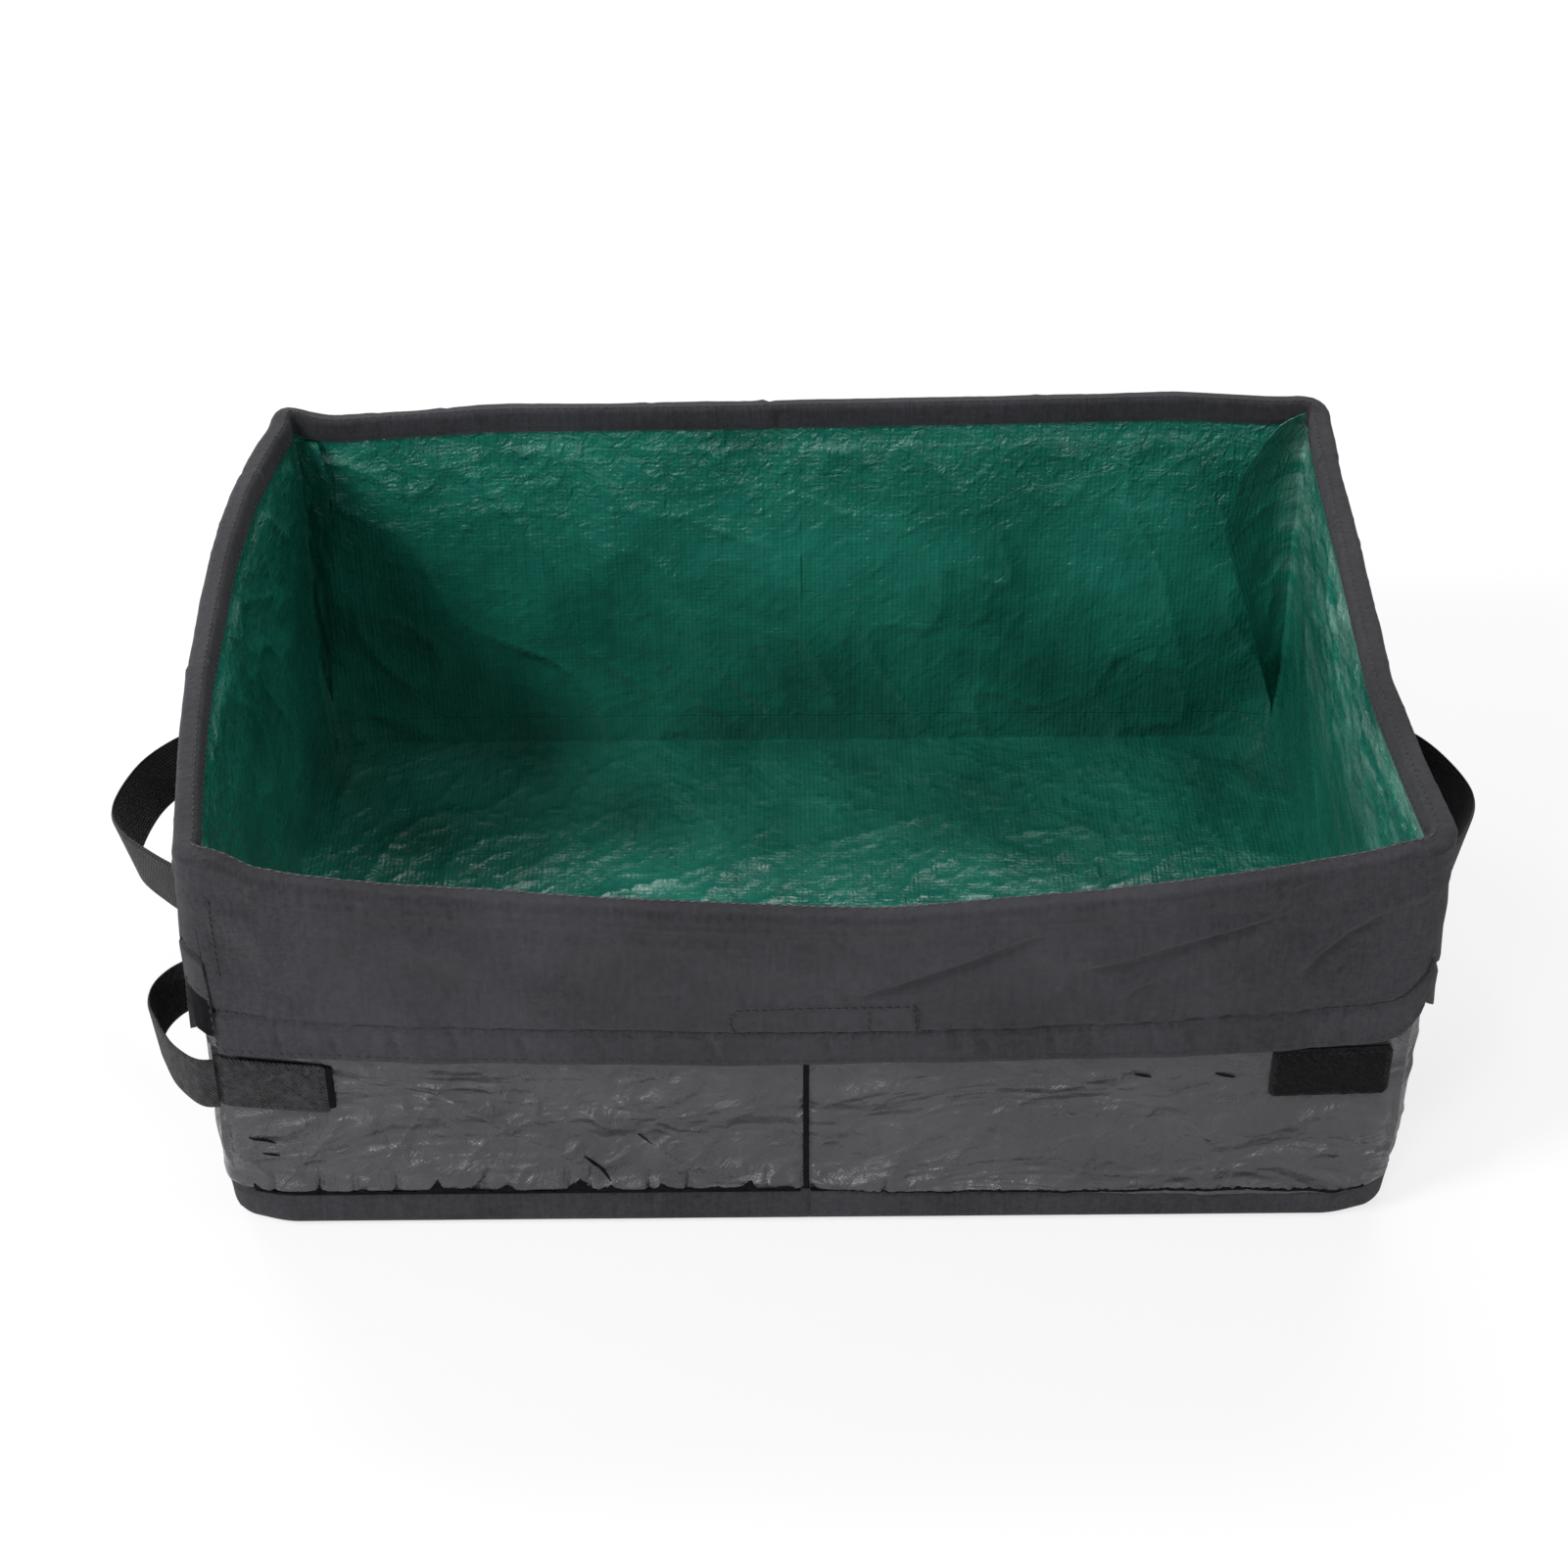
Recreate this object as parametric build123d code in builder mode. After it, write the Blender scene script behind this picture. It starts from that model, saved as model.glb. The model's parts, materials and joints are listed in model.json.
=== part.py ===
from build123d import *

import os

# Foldable litter box, standing open. X runs left to right, Y front to rear, Z up, and the origin is
# the middle of the underside. The floor and the long walls have a middle seam, where the box folds
# in half once its walls lie flat.

# Whole box, in millimetres
length = 420.0
depth = 290.0
height = 168.0
corner_radius = 7.0
seam_gap = 0.8
clearance = 0.3

# Cloth, liner and boards
sheet_thickness = 1.0
band_thickness = 1.2
band_height = 16.0
board_thickness = 2.0
liner_thickness = 0.6
cover_thickness = 0.8
binding_thickness = 0.8
binding_depth = 15.0
board_margin = 3.0
board_corner = 5.0
cloth_corner = 2.0

# Fold lines, one above the other so that the folded walls stack: front, rear, right, left
first_fold = 6.0
fold_step = 11.0

# Side clearance of a wall that folds between its neighbours
side_clearance = 0.6
pleat_thickness = 1.0
pleat_width = 34.0
pleat_top_width = 14.0
pleat_bulge_share = 0.68

# Middle seam piping
piping_width = 2.6
piping_rise = 0.5

# Skirt turned down outside the walls
cuff_thickness = 1.6
cuff_drop_share = 0.488
cuff_edge_radius = 2960.0
cuff_gap = 1.7
cuff_root = 14.0
cuff_corner = 7.0
hem_height = 19.0
hem_thickness = 2.6
tunnel_height = 16.0
tunnel_thickness = 1.2

# Hook and loop strips sewn behind the long cuffs
strip_thickness = 0.6
strip_length = 36.0
strip_width = 16.0
strip_lift = 4.0

# Loop patch on the front wall at the right
patch_thickness = 1.3
patch_length = 41.0
patch_width = 22.0
patch_corner = 3.0
patch_end_gap = 3.5
patch_drop = 4.0

# Carrying handles
webbing_thickness = 1.6
handle_width = 25.0
handle_drop = 9.0
handle_foot_share = 0.19
handle_tab = 20.0
handle_bulge = 48.0
handle_root_run = 9.0
handle_root_radius = 8.0
handle_crown = 26.0
handle_crown_radius = 30.0

# Closing strap round the front left corner
strap_width = 22.0
strap_drop = 6.0
strap_root_length = 36.0
anchor_border = 2.0
strap_bulge = 24.0
strap_bulge_back = 33.0
strap_corner_radius = 9.0
strap_lay_radius = 26.0
strap_rest_share = 0.085
hook_tape_thickness = 0.8
hook_tape_share = 0.08

# Worked out from the sizes above
wall_thickness = cover_thickness + board_thickness + liner_thickness
wall_inset = band_thickness + clearance
cover_face = {
    "front": depth / 2 - wall_inset,
    "rear": depth / 2 - wall_inset,
    "left": length / 2 - wall_inset,
    "right": length / 2 - wall_inset,
}
inner_face = {side: face - wall_thickness for side, face in cover_face.items()}
inner_build = max(binding_thickness, pleat_thickness)
half_span = {
    "front": inner_face["left"] - inner_build - side_clearance,
    "rear": inner_face["left"] - inner_build - side_clearance,
    "left": inner_face["front"] - inner_build - side_clearance,
    "right": inner_face["front"] - inner_build - side_clearance,
}
fold_height = {
    side: first_fold + level * fold_step
    for level, side in enumerate(("front", "rear", "right", "left"))
}
floor_top = sheet_thickness + board_thickness
half_gap = seam_gap / 2
wall_top = height - binding_thickness
cuff_edge = height * (1 - cuff_drop_share)
handle_top = cuff_edge - handle_drop
handle_foot = handle_foot_share * depth
strap_top = cuff_edge - strap_drop
strap_level = strap_top - strap_width
strap_offset = patch_thickness + webbing_thickness / 2
strap_front = -cover_face["front"] - strap_offset
strap_lay = strap_front + strap_bulge_back
strap_tip = strap_lay + strap_rest_share * depth

# Each wall panel: its side, and where it starts and ends along the wall seen from outside
panels = {
    "front_left": ("front", -half_span["front"], -half_gap),
    "front_right": ("front", half_gap, half_span["front"]),
    "rear_left": ("rear", half_gap, half_span["rear"]),
    "rear_right": ("rear", -half_span["rear"], -half_gap),
    "left_end": ("left", -half_span["left"], half_span["left"]),
    "right_end": ("right", -half_span["right"], half_span["right"]),
}
outward = {"front": (0, -1, 0), "rear": (0, 1, 0), "left": (-1, 0, 0), "right": (1, 0, 0)}
along = {"front": (1, 0, 0), "rear": (-1, 0, 0), "left": (0, -1, 0), "right": (0, 1, 0)}


def wall_plane(side, out):
    """Upright plane a distance outside a wall's cover: x along the wall, y up, z outwards."""
    centre = Vector(*outward[side]) * (cover_face[side] + out)
    return Plane(origin=centre, x_dir=along[side], z_dir=outward[side])


def end_plane(side, end):
    """Upright plane across a wall: x outwards from its cover, y up."""
    centre = Vector(*outward[side]) * cover_face[side] + Vector(*along[side]) * end
    return Plane(origin=centre, x_dir=outward[side], z_dir=-Vector(*along[side]))


def save(piece, name):
    piece.part.label = name
    export_step(piece.part, f"parts/{name}.step")


def flat_sheet(side, out, thickness, left, right, low, high, corner):
    """A sheet with rounded corners that lies along a wall."""
    with BuildPart() as sheet:
        with BuildSketch(wall_plane(side, out)):
            with Locations(((left + right) / 2, (low + high) / 2)):
                RectangleRounded(right - left, high - low, corner)
        extrude(amount=thickness)
    return sheet


# Base, half by half: sheet, band, board, riser and liner
def half_outline(plane, inset, corner):
    """One half of the base's rounded outline, drawn in from the edge."""
    with BuildSketch(plane) as outline:
        RectangleRounded(length - 2 * inset, depth - 2 * inset, corner)
        with Locations((-half_gap, 0)):
            Rectangle(length, depth, align=(Align.MIN, Align.CENTER), mode=Mode.SUBTRACT)
    return outline.sketch


def base_sheet():
    with BuildPart() as sheet:
        extrude(half_outline(Plane.XY, 0, corner_radius), amount=sheet_thickness)
    return sheet


def base_band():
    foot = Plane.XY.offset(sheet_thickness)
    inside = half_outline(foot, band_thickness, corner_radius - band_thickness)
    with BuildPart() as band:
        extrude(half_outline(foot, 0, corner_radius), amount=band_height - sheet_thickness)
        extrude(inside, amount=band_height - sheet_thickness, mode=Mode.SUBTRACT)
    return band


def basin_edge(side_of_end, start, thickness, overlap):
    """Strips under the fold lines: front, rear and one end, each as high as its own fold line."""
    foot = Plane.XY.offset(sheet_thickness + overlap)
    inset = wall_inset + start
    outline = half_outline(foot, inset, corner_radius - inset)
    long_reach = depth / 2 - inset
    end_reach = length / 2 - inset
    with BuildPart() as edge:
        for side, way in (("front", -1), ("rear", 1)):
            with BuildSketch(foot):
                add(outline)
                with Locations((0, way * (long_reach - thickness / 2))):
                    Rectangle(length, thickness, mode=Mode.INTERSECT)
            extrude(amount=fold_height[side] - clearance - sheet_thickness - overlap)
        with BuildSketch(foot):
            add(outline)
            with Locations((-end_reach + thickness / 2, 0)):
                Rectangle(thickness, depth, mode=Mode.INTERSECT)
        extrude(amount=fold_height[side_of_end] - clearance - sheet_thickness - overlap)
    return edge


def floor_board():
    reach = inner_face["left"] - clearance
    with BuildPart() as board:
        with BuildSketch(Plane.XY.offset(sheet_thickness)):
            with Locations((-half_gap - board_margin, 0)):
                RectangleRounded(
                    reach - half_gap - board_margin,
                    2 * (inner_face["front"] - clearance),
                    board_corner,
                    align=(Align.MAX, Align.CENTER),
                )
        extrude(amount=board_thickness)
    return board


def floor_liner(side_of_end):
    """Green sheet over the floor board, turned up against the risers."""
    lining = basin_edge(side_of_end, wall_thickness - liner_thickness, liner_thickness, board_thickness)
    with BuildPart() as liner:
        add(lining.part)
        with BuildSketch(Plane.XY.offset(floor_top)):
            with Locations((-half_gap, 0)):
                Rectangle(
                    inner_face["left"] - half_gap + liner_thickness / 2,
                    2 * inner_face["front"] + liner_thickness,
                    align=(Align.MAX, Align.CENTER),
                )
        extrude(amount=liner_thickness)
    return liner


def mirrored(piece):
    with BuildPart() as other:
        add(piece.part)
        mirror(about=Plane.YZ, mode=Mode.REPLACE)
    return other


# Wall panels: cover outside, board, liner inside, and the binding over the rim
def rim_binding(side, left, right):
    """Channel folded over the rim, with its inner leg the deeper one in sight."""
    with BuildPart() as binding:
        with BuildSketch(end_plane(side, right)):
            with BuildLine():
                Polyline(
                    (binding_thickness, height),
                    (binding_thickness, height - binding_depth),
                    (0, height - binding_depth),
                    (0, wall_top),
                    (-wall_thickness, wall_top),
                    (-wall_thickness, height - binding_depth),
                    (-wall_thickness - binding_thickness, height - binding_depth),
                    (-wall_thickness - binding_thickness, height),
                    close=True,
                )
            make_face()
        extrude(amount=right - left)
    return binding


def wall_panel(name, side, left, right):
    low = fold_height[side]
    seam = piping_width if name in ("front_left", "rear_right") else 0
    cover_right = right - seam
    save(
        flat_sheet(side, -cover_thickness, cover_thickness, left, cover_right, low, wall_top, cloth_corner),
        f"{name}_cover",
    )
    save(
        flat_sheet(
            side,
            -cover_thickness - board_thickness,
            board_thickness,
            left + board_margin,
            right - board_margin,
            low + board_margin,
            wall_top - board_margin,
            board_corner,
        ),
        f"{name}_board",
    )
    save(
        flat_sheet(side, -wall_thickness, liner_thickness, left, right, low, wall_top, cloth_corner),
        f"{name}_liner",
    )
    save(rim_binding(side, left, right), f"{name}_binding")


def middle_seam(name, side):
    """Piping over the joint between two covers."""
    left, right = panels[name][1:]
    out = -cover_thickness
    rise = cover_thickness + piping_rise
    low = max(fold_height[side], band_height + clearance)
    top = height - binding_depth - clearance
    piping = flat_sheet(side, out, rise, right - piping_width, right, low, top, piping_rise)
    save(piping, f"{side}_middle_seam")


# Skirt panels, each with a hem tunnel along its free edge, which sags between the corners
def skirt_edge(side, place):
    """Height of the skirt's lower edge at a place along a wall."""
    reach = half_span[side]
    rise = (cuff_edge_radius**2 - place**2) ** 0.5 - (cuff_edge_radius**2 - reach**2) ** 0.5
    return cuff_edge - rise


def skirt_line(side, left, right, rise):
    """Line along the skirt, a height above its lower edge."""
    middle = (left + right) / 2
    return ThreePointArc(*((place, skirt_edge(side, place) + rise) for place in (left, middle, right)))


def hem_strip(side, out, left, right, low, high):
    """Strip along the skirt between two heights above its lower edge."""
    with BuildSketch(wall_plane(side, out)) as strip:
        with BuildLine():
            lower = skirt_line(side, left, right, low)
            upper = skirt_line(side, left, right, high)
            Line(lower @ 0, upper @ 0)
            Line(lower @ 1, upper @ 1)
        make_face()
    return strip.sketch


def cuff(side, left, right):
    top = height - cuff_root
    tunnel_out = cuff_gap + (hem_thickness - tunnel_thickness) / 2
    tunnel_rise = (hem_height - tunnel_height) / 2
    with BuildPart() as skirt:
        with BuildSketch(wall_plane(side, cuff_gap)):
            with BuildLine():
                lower = skirt_line(side, left, right, tunnel_rise)
                Polyline(lower @ 1, (right, top), (left, top), lower @ 0)
            make_face()
        extrude(amount=cuff_thickness)
        extrude(hem_strip(side, cuff_gap, left, right, 0, hem_height), amount=hem_thickness)
        tunnel = hem_strip(side, tunnel_out, left, right, tunnel_rise, hem_height - tunnel_rise)
        extrude(tunnel, amount=tunnel_thickness, mode=Mode.SUBTRACT)
        with BuildSketch(wall_plane(side, cuff_gap + hem_thickness)):
            for end, way in ((left, 1), (right, -1)):
                if abs(end) > half_gap:
                    with BuildLine():
                        Polyline(
                            (end, cuff_edge),
                            (end + way * cuff_corner, cuff_edge - cuff_corner),
                            (end + way * cuff_corner, cuff_edge),
                            (end, cuff_edge + cuff_corner),
                            close=True,
                        )
                    make_face()
        extrude(amount=-hem_thickness - cuff_gap, mode=Mode.SUBTRACT)
    return skirt


def closing_strip(side, left, right):
    """Hook or loop strip sewn to the hidden face of a long cuff, beside the middle seam."""
    start = left if abs(left) < abs(right) else right - strip_length
    low = cuff_edge + hem_height + strip_lift
    return flat_sheet(
        side,
        cuff_gap - strip_thickness,
        strip_thickness,
        start,
        start + strip_length,
        low,
        low + strip_width,
        cloth_corner,
    )


# Corner pleats of the liner, folded flat against the rear wall
def corner_pleat(side, way):
    edge = way * half_span[side]
    low = fold_height[side]
    high = height - binding_depth - clearance
    middle = low + (high - low) * pleat_bulge_share
    with BuildPart() as pleat:
        with BuildSketch(wall_plane(side, -wall_thickness)):
            with BuildLine():
                Line((edge, low), (edge, high))
                Line((edge, high), (edge - way * pleat_top_width, high))
                Spline(
                    (edge - way * pleat_top_width, high),
                    (edge - way * pleat_width, middle),
                    (edge, low),
                )
            make_face()
        extrude(amount=-pleat_thickness)
    return pleat


# Carrying handles of webbing, one on each end wall
def ribbon(foot, points, radii, width):
    """Webbing on edge along a line in plan with rounded bends."""
    with BuildPart() as webbing:
        with BuildSketch(Plane.XY.offset(foot)):
            with BuildLine() as middle:
                Polyline(*points)
                for bend, radius in zip(points[1:-1], radii):
                    fillet(middle.vertices().sort_by_distance(bend)[0], radius)
            trace(middle.line, line_width=webbing_thickness)
        extrude(amount=width)
    return webbing


def handle_tabs(way):
    """Both sewn ends of a handle, flat on the cover."""
    with BuildPart() as tabs:
        with BuildSketch(Plane.YZ.offset(way * cover_face["left"])):
            for end in (-1, 1):
                with Locations((end * (handle_foot + handle_tab / 2), handle_top - handle_width / 2)):
                    Rectangle(handle_tab, handle_width)
        extrude(amount=way * webbing_thickness)
    return tabs


def handle_loop(way):
    near = way * (cover_face["left"] + clearance + webbing_thickness / 2)
    far = near + way * handle_bulge
    foot = handle_foot - clearance
    points = (
        (near, -foot),
        (near, handle_root_run - foot),
        (far, -handle_crown),
        (far, handle_crown),
        (near, foot - handle_root_run),
        (near, foot),
    )
    radii = (handle_root_radius, handle_crown_radius, handle_crown_radius, handle_root_radius)
    return ribbon(handle_top - handle_width, points, radii, handle_width)


# Closing strap: sewn on the front wall, then loose round the corner
def strap_anchor():
    left = -half_span["front"]
    right = left + strap_root_length + anchor_border
    low = strap_level - anchor_border
    return flat_sheet("front", 0, patch_thickness, left, right, low, strap_top + anchor_border, cloth_corner)


def strap_root():
    left = -half_span["front"]
    right = left + strap_root_length
    return flat_sheet(
        "front", patch_thickness, webbing_thickness, left, right, strap_level, strap_top, clearance
    )


def strap_loop():
    start = -half_span["front"] - 2 * clearance
    beside = -cover_face["left"] - hook_tape_thickness - clearance - webbing_thickness / 2
    points = (
        (start, strap_front),
        (beside - strap_bulge, strap_front),
        (beside, strap_lay),
        (beside, strap_tip),
    )
    return ribbon(strap_level, points, (strap_corner_radius, strap_lay_radius), strap_width)


def hook_tape():
    left = -strap_tip
    right = left + hook_tape_share * depth
    return flat_sheet("left", clearance, hook_tape_thickness, left, right, strap_level, strap_top, clearance)


# Loop patch that the strap's free end closes on
def loop_patch():
    right = half_span["front"] - patch_end_gap
    top = cuff_edge - patch_drop
    return flat_sheet(
        "front", 0, patch_thickness, right - patch_length, right, top - patch_width, top, patch_corner
    )


os.makedirs("parts", exist_ok=True)

for end_side, turn in (("left", False), ("right", True)):
    half = {
        "base_sheet": base_sheet(),
        "base_band": base_band(),
        "floor_board": floor_board(),
        "riser": basin_edge(end_side, 0, wall_thickness - liner_thickness, 0),
        "floor_liner": floor_liner(end_side),
    }
    for piece_name, piece in half.items():
        save(mirrored(piece) if turn else piece, f"{piece_name}_{end_side}")

for panel_name, (panel_side, panel_left, panel_right) in panels.items():
    wall_panel(panel_name, panel_side, panel_left, panel_right)
    save(cuff(panel_side, panel_left, panel_right), f"{panel_name}_cuff")
    if panel_side in ("front", "rear"):
        save(closing_strip(panel_side, panel_left, panel_right), f"{panel_name}_cuff_strip")

middle_seam("front_left", "front")
middle_seam("rear_right", "rear")
save(corner_pleat("rear", 1), "rear_left_pleat")
save(corner_pleat("rear", -1), "rear_right_pleat")
save(loop_patch(), "loop_patch")
save(strap_anchor(), "strap_anchor_patch")
save(strap_root(), "closing_strap_root")
save(strap_loop(), "closing_strap")
save(hook_tape(), "strap_hook_tape")

for end_side, way in (("left", -1), ("right", 1)):
    save(handle_tabs(way), f"{end_side}_handle_tabs")
    save(handle_loop(way), f"{end_side}_handle")
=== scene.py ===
# %% [markdown]
# # A foldable litter box in cloth
# The box is a soft bag held open by boards. Its cloth runs round the corners in one piece, so every
# layer here is cut from one shape: a ring that goes once round the box. The ring knows where the rim
# bows out and where it sags, and each piece takes its share of it. That keeps the pieces in line where
# they meet, and it lets each one ride on its own wall.

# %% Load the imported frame
import json
import math

import bpy
import numpy as np
from mathutils import Matrix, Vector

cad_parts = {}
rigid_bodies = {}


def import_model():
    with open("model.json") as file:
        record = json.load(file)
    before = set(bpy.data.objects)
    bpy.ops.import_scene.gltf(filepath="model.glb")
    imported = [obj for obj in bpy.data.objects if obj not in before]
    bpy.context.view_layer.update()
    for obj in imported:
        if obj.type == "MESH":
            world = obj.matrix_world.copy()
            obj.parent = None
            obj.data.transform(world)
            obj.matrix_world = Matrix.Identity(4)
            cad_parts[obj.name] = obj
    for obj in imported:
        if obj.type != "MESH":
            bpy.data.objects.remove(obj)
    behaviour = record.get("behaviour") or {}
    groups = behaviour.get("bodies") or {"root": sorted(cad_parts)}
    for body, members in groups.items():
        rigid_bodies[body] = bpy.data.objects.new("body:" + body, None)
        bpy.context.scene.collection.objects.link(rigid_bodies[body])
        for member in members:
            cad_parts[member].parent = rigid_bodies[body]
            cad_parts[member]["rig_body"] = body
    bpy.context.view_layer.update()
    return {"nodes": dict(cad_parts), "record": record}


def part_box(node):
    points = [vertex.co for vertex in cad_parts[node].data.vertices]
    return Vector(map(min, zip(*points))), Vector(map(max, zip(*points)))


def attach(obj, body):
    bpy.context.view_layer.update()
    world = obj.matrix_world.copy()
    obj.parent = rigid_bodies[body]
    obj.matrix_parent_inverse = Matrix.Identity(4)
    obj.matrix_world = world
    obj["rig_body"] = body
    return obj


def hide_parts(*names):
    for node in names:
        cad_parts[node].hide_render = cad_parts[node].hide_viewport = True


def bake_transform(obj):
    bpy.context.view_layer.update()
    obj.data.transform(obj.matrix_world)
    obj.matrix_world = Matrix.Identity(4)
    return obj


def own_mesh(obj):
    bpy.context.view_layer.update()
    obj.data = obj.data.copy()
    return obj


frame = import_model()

# %% [markdown]
# ## Camera
# The camera stands a little over a metre away and looks down by about 38 degrees. It was solved from seven
# corners in the photograph for a box of 420 by 290 by 168 mm, so it holds for that size and no other.

# %% Camera at the photograph's angle
PICTURE_WIDTH = 1601
FOCAL_PIXELS = 3141.65
CAMERA_PLACE = (-0.00844, -0.92394, 0.79591)
PITCH, YAW, ROLL = (math.radians(a) for a in (37.512, 0.045, 0.439))


def camera_matrix():
    ahead = np.array([math.sin(YAW) * math.cos(PITCH), math.cos(YAW) * math.cos(PITCH), -math.sin(PITCH)])
    level = np.array([math.cos(YAW), -math.sin(YAW), 0.0])
    down = np.cross(ahead, level)
    right = level * math.cos(ROLL) + down * math.sin(ROLL)
    below = down * math.cos(ROLL) - level * math.sin(ROLL)
    matrix = np.eye(4)
    matrix[:3, 0], matrix[:3, 1], matrix[:3, 2] = right, -below, -ahead
    matrix[:3, 3] = CAMERA_PLACE
    return Matrix(matrix.tolist())


camera_data = bpy.data.cameras.new("camera")
camera_data.sensor_width = 36.0
camera_data.lens = camera_data.sensor_width * FOCAL_PIXELS / PICTURE_WIDTH
camera_data.clip_start = 0.01
camera = bpy.data.objects.new("camera", camera_data)
bpy.context.scene.collection.objects.link(camera)
camera.matrix_world = camera_matrix()
bpy.context.scene.camera = camera

# %% [markdown]
# ## Floor and light
# A studio with a pale floor and soft lamps. The background is white because the world and the floor are
# white, and not because more light falls on the cloth.

# %% Floor, world and lamps
bpy.context.scene.view_settings.view_transform = "Standard"


def make_floor():
    mesh = bpy.data.meshes.new("studio_floor")
    half = 6.0
    corners = [(-half, -half, 0), (half, -half, 0), (half, half, 0), (-half, half, 0)]
    mesh.from_pydata(corners, [], [(0, 1, 2, 3)])
    floor = bpy.data.objects.new("studio_floor", mesh)
    bpy.context.scene.collection.objects.link(floor)
    floor.location.z = -0.0004
    material = bpy.data.materials.new("studio_floor")
    material.use_nodes = True
    shader = material.node_tree.nodes["Principled BSDF"]
    shader.inputs["Base Color"].default_value = (0.96, 0.96, 0.965, 1)
    shader.inputs["Roughness"].default_value = 0.9
    shader.inputs["Specular IOR Level"].default_value = 0.1
    tree = material.node_tree
    glow = tree.nodes.new("ShaderNodeEmission")
    glow.inputs["Color"].default_value = (1, 1, 1, 1)
    path = tree.nodes.new("ShaderNodeLightPath")
    share = tree.nodes.new("ShaderNodeMath")
    share.operation = "MULTIPLY"
    share.inputs[1].default_value = 0.75
    mix = tree.nodes.new("ShaderNodeMixShader")
    tree.links.new(path.outputs["Is Camera Ray"], share.inputs[0])
    tree.links.new(share.outputs[0], mix.inputs["Fac"])
    tree.links.new(shader.outputs["BSDF"], mix.inputs[1])
    tree.links.new(glow.outputs["Emission"], mix.inputs[2])
    tree.links.new(mix.outputs[0], tree.nodes["Material Output"].inputs["Surface"])
    mesh.materials.append(material)


def make_world(strength):
    world = bpy.data.worlds.new("studio")
    bpy.context.scene.world = world
    world.use_nodes = True
    tree = world.node_tree
    background = tree.nodes["Background"]
    background.inputs["Color"].default_value = (1, 1, 1, 1)
    path = tree.nodes.new("ShaderNodeLightPath")
    clear = tree.nodes.new("ShaderNodeMath")
    clear.operation = "MAXIMUM"
    tree.links.new(path.outputs["Is Camera Ray"], clear.inputs[0])
    tree.links.new(path.outputs["Is Transmission Ray"], clear.inputs[1])
    seen = tree.nodes.new("ShaderNodeMath")
    seen.operation = "MAXIMUM"
    tree.links.new(clear.outputs[0], seen.inputs[0])
    tree.links.new(path.outputs["Is Glossy Ray"], seen.inputs[1])
    level = tree.nodes.new("ShaderNodeMapRange")
    level.inputs["To Min"].default_value = strength
    level.inputs["To Max"].default_value = 1.0
    tree.links.new(seen.outputs[0], level.inputs["Value"])
    tree.links.new(level.outputs["Result"], background.inputs["Strength"])


def lamp(name, place, aim, size, power):
    data = bpy.data.lights.new(name, "AREA")
    data.shape = "RECTANGLE"
    data.size, data.size_y = size
    data.energy = power
    light = bpy.data.objects.new(name, data)
    bpy.context.scene.collection.objects.link(light)
    back = np.array(place, float) - np.array(aim, float)
    back /= np.linalg.norm(back)
    side = np.cross((0, 0, 1), back)
    side /= np.linalg.norm(side)
    matrix = np.eye(4)
    matrix[:3, 0], matrix[:3, 1], matrix[:3, 2], matrix[:3, 3] = side, np.cross(back, side), back, place
    light.matrix_world = Matrix(matrix.tolist())


make_floor()
make_world(0.3)
lamp("key_softbox", (-1.3, -0.9, 1.6), (0, 0, 0.05), (0.5, 0.5), 28)
lamp("top_softbox", (0.3, 1.0, 1.7), (0, 0, 0.05), (1.2, 0.5), 17)
lamp("front_softbox", (-0.9, -2.0, 0.75), (0, 0, 0.05), (0.45, 0.3), 15)
lamp("side_softbox", (1.5, -0.7, 1.1), (0, 0, 0.05), (0.6, 0.8), 3)
lamp("rear_softbox", (-1.2, 1.5, 0.75), (0.1, 0, 0.08), (0.7, 0.5), 16)


# %% [markdown]
# ## Materials
# Each cloth reads a map named Cloth, which holds how far a point lies along the cloth and up it, in
# metres. A weave drawn from that map keeps its threads parallel to the edges, whichever way a wall
# faces. Broad changes of shade come from Object coordinates, so they run on from piece to piece.

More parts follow.
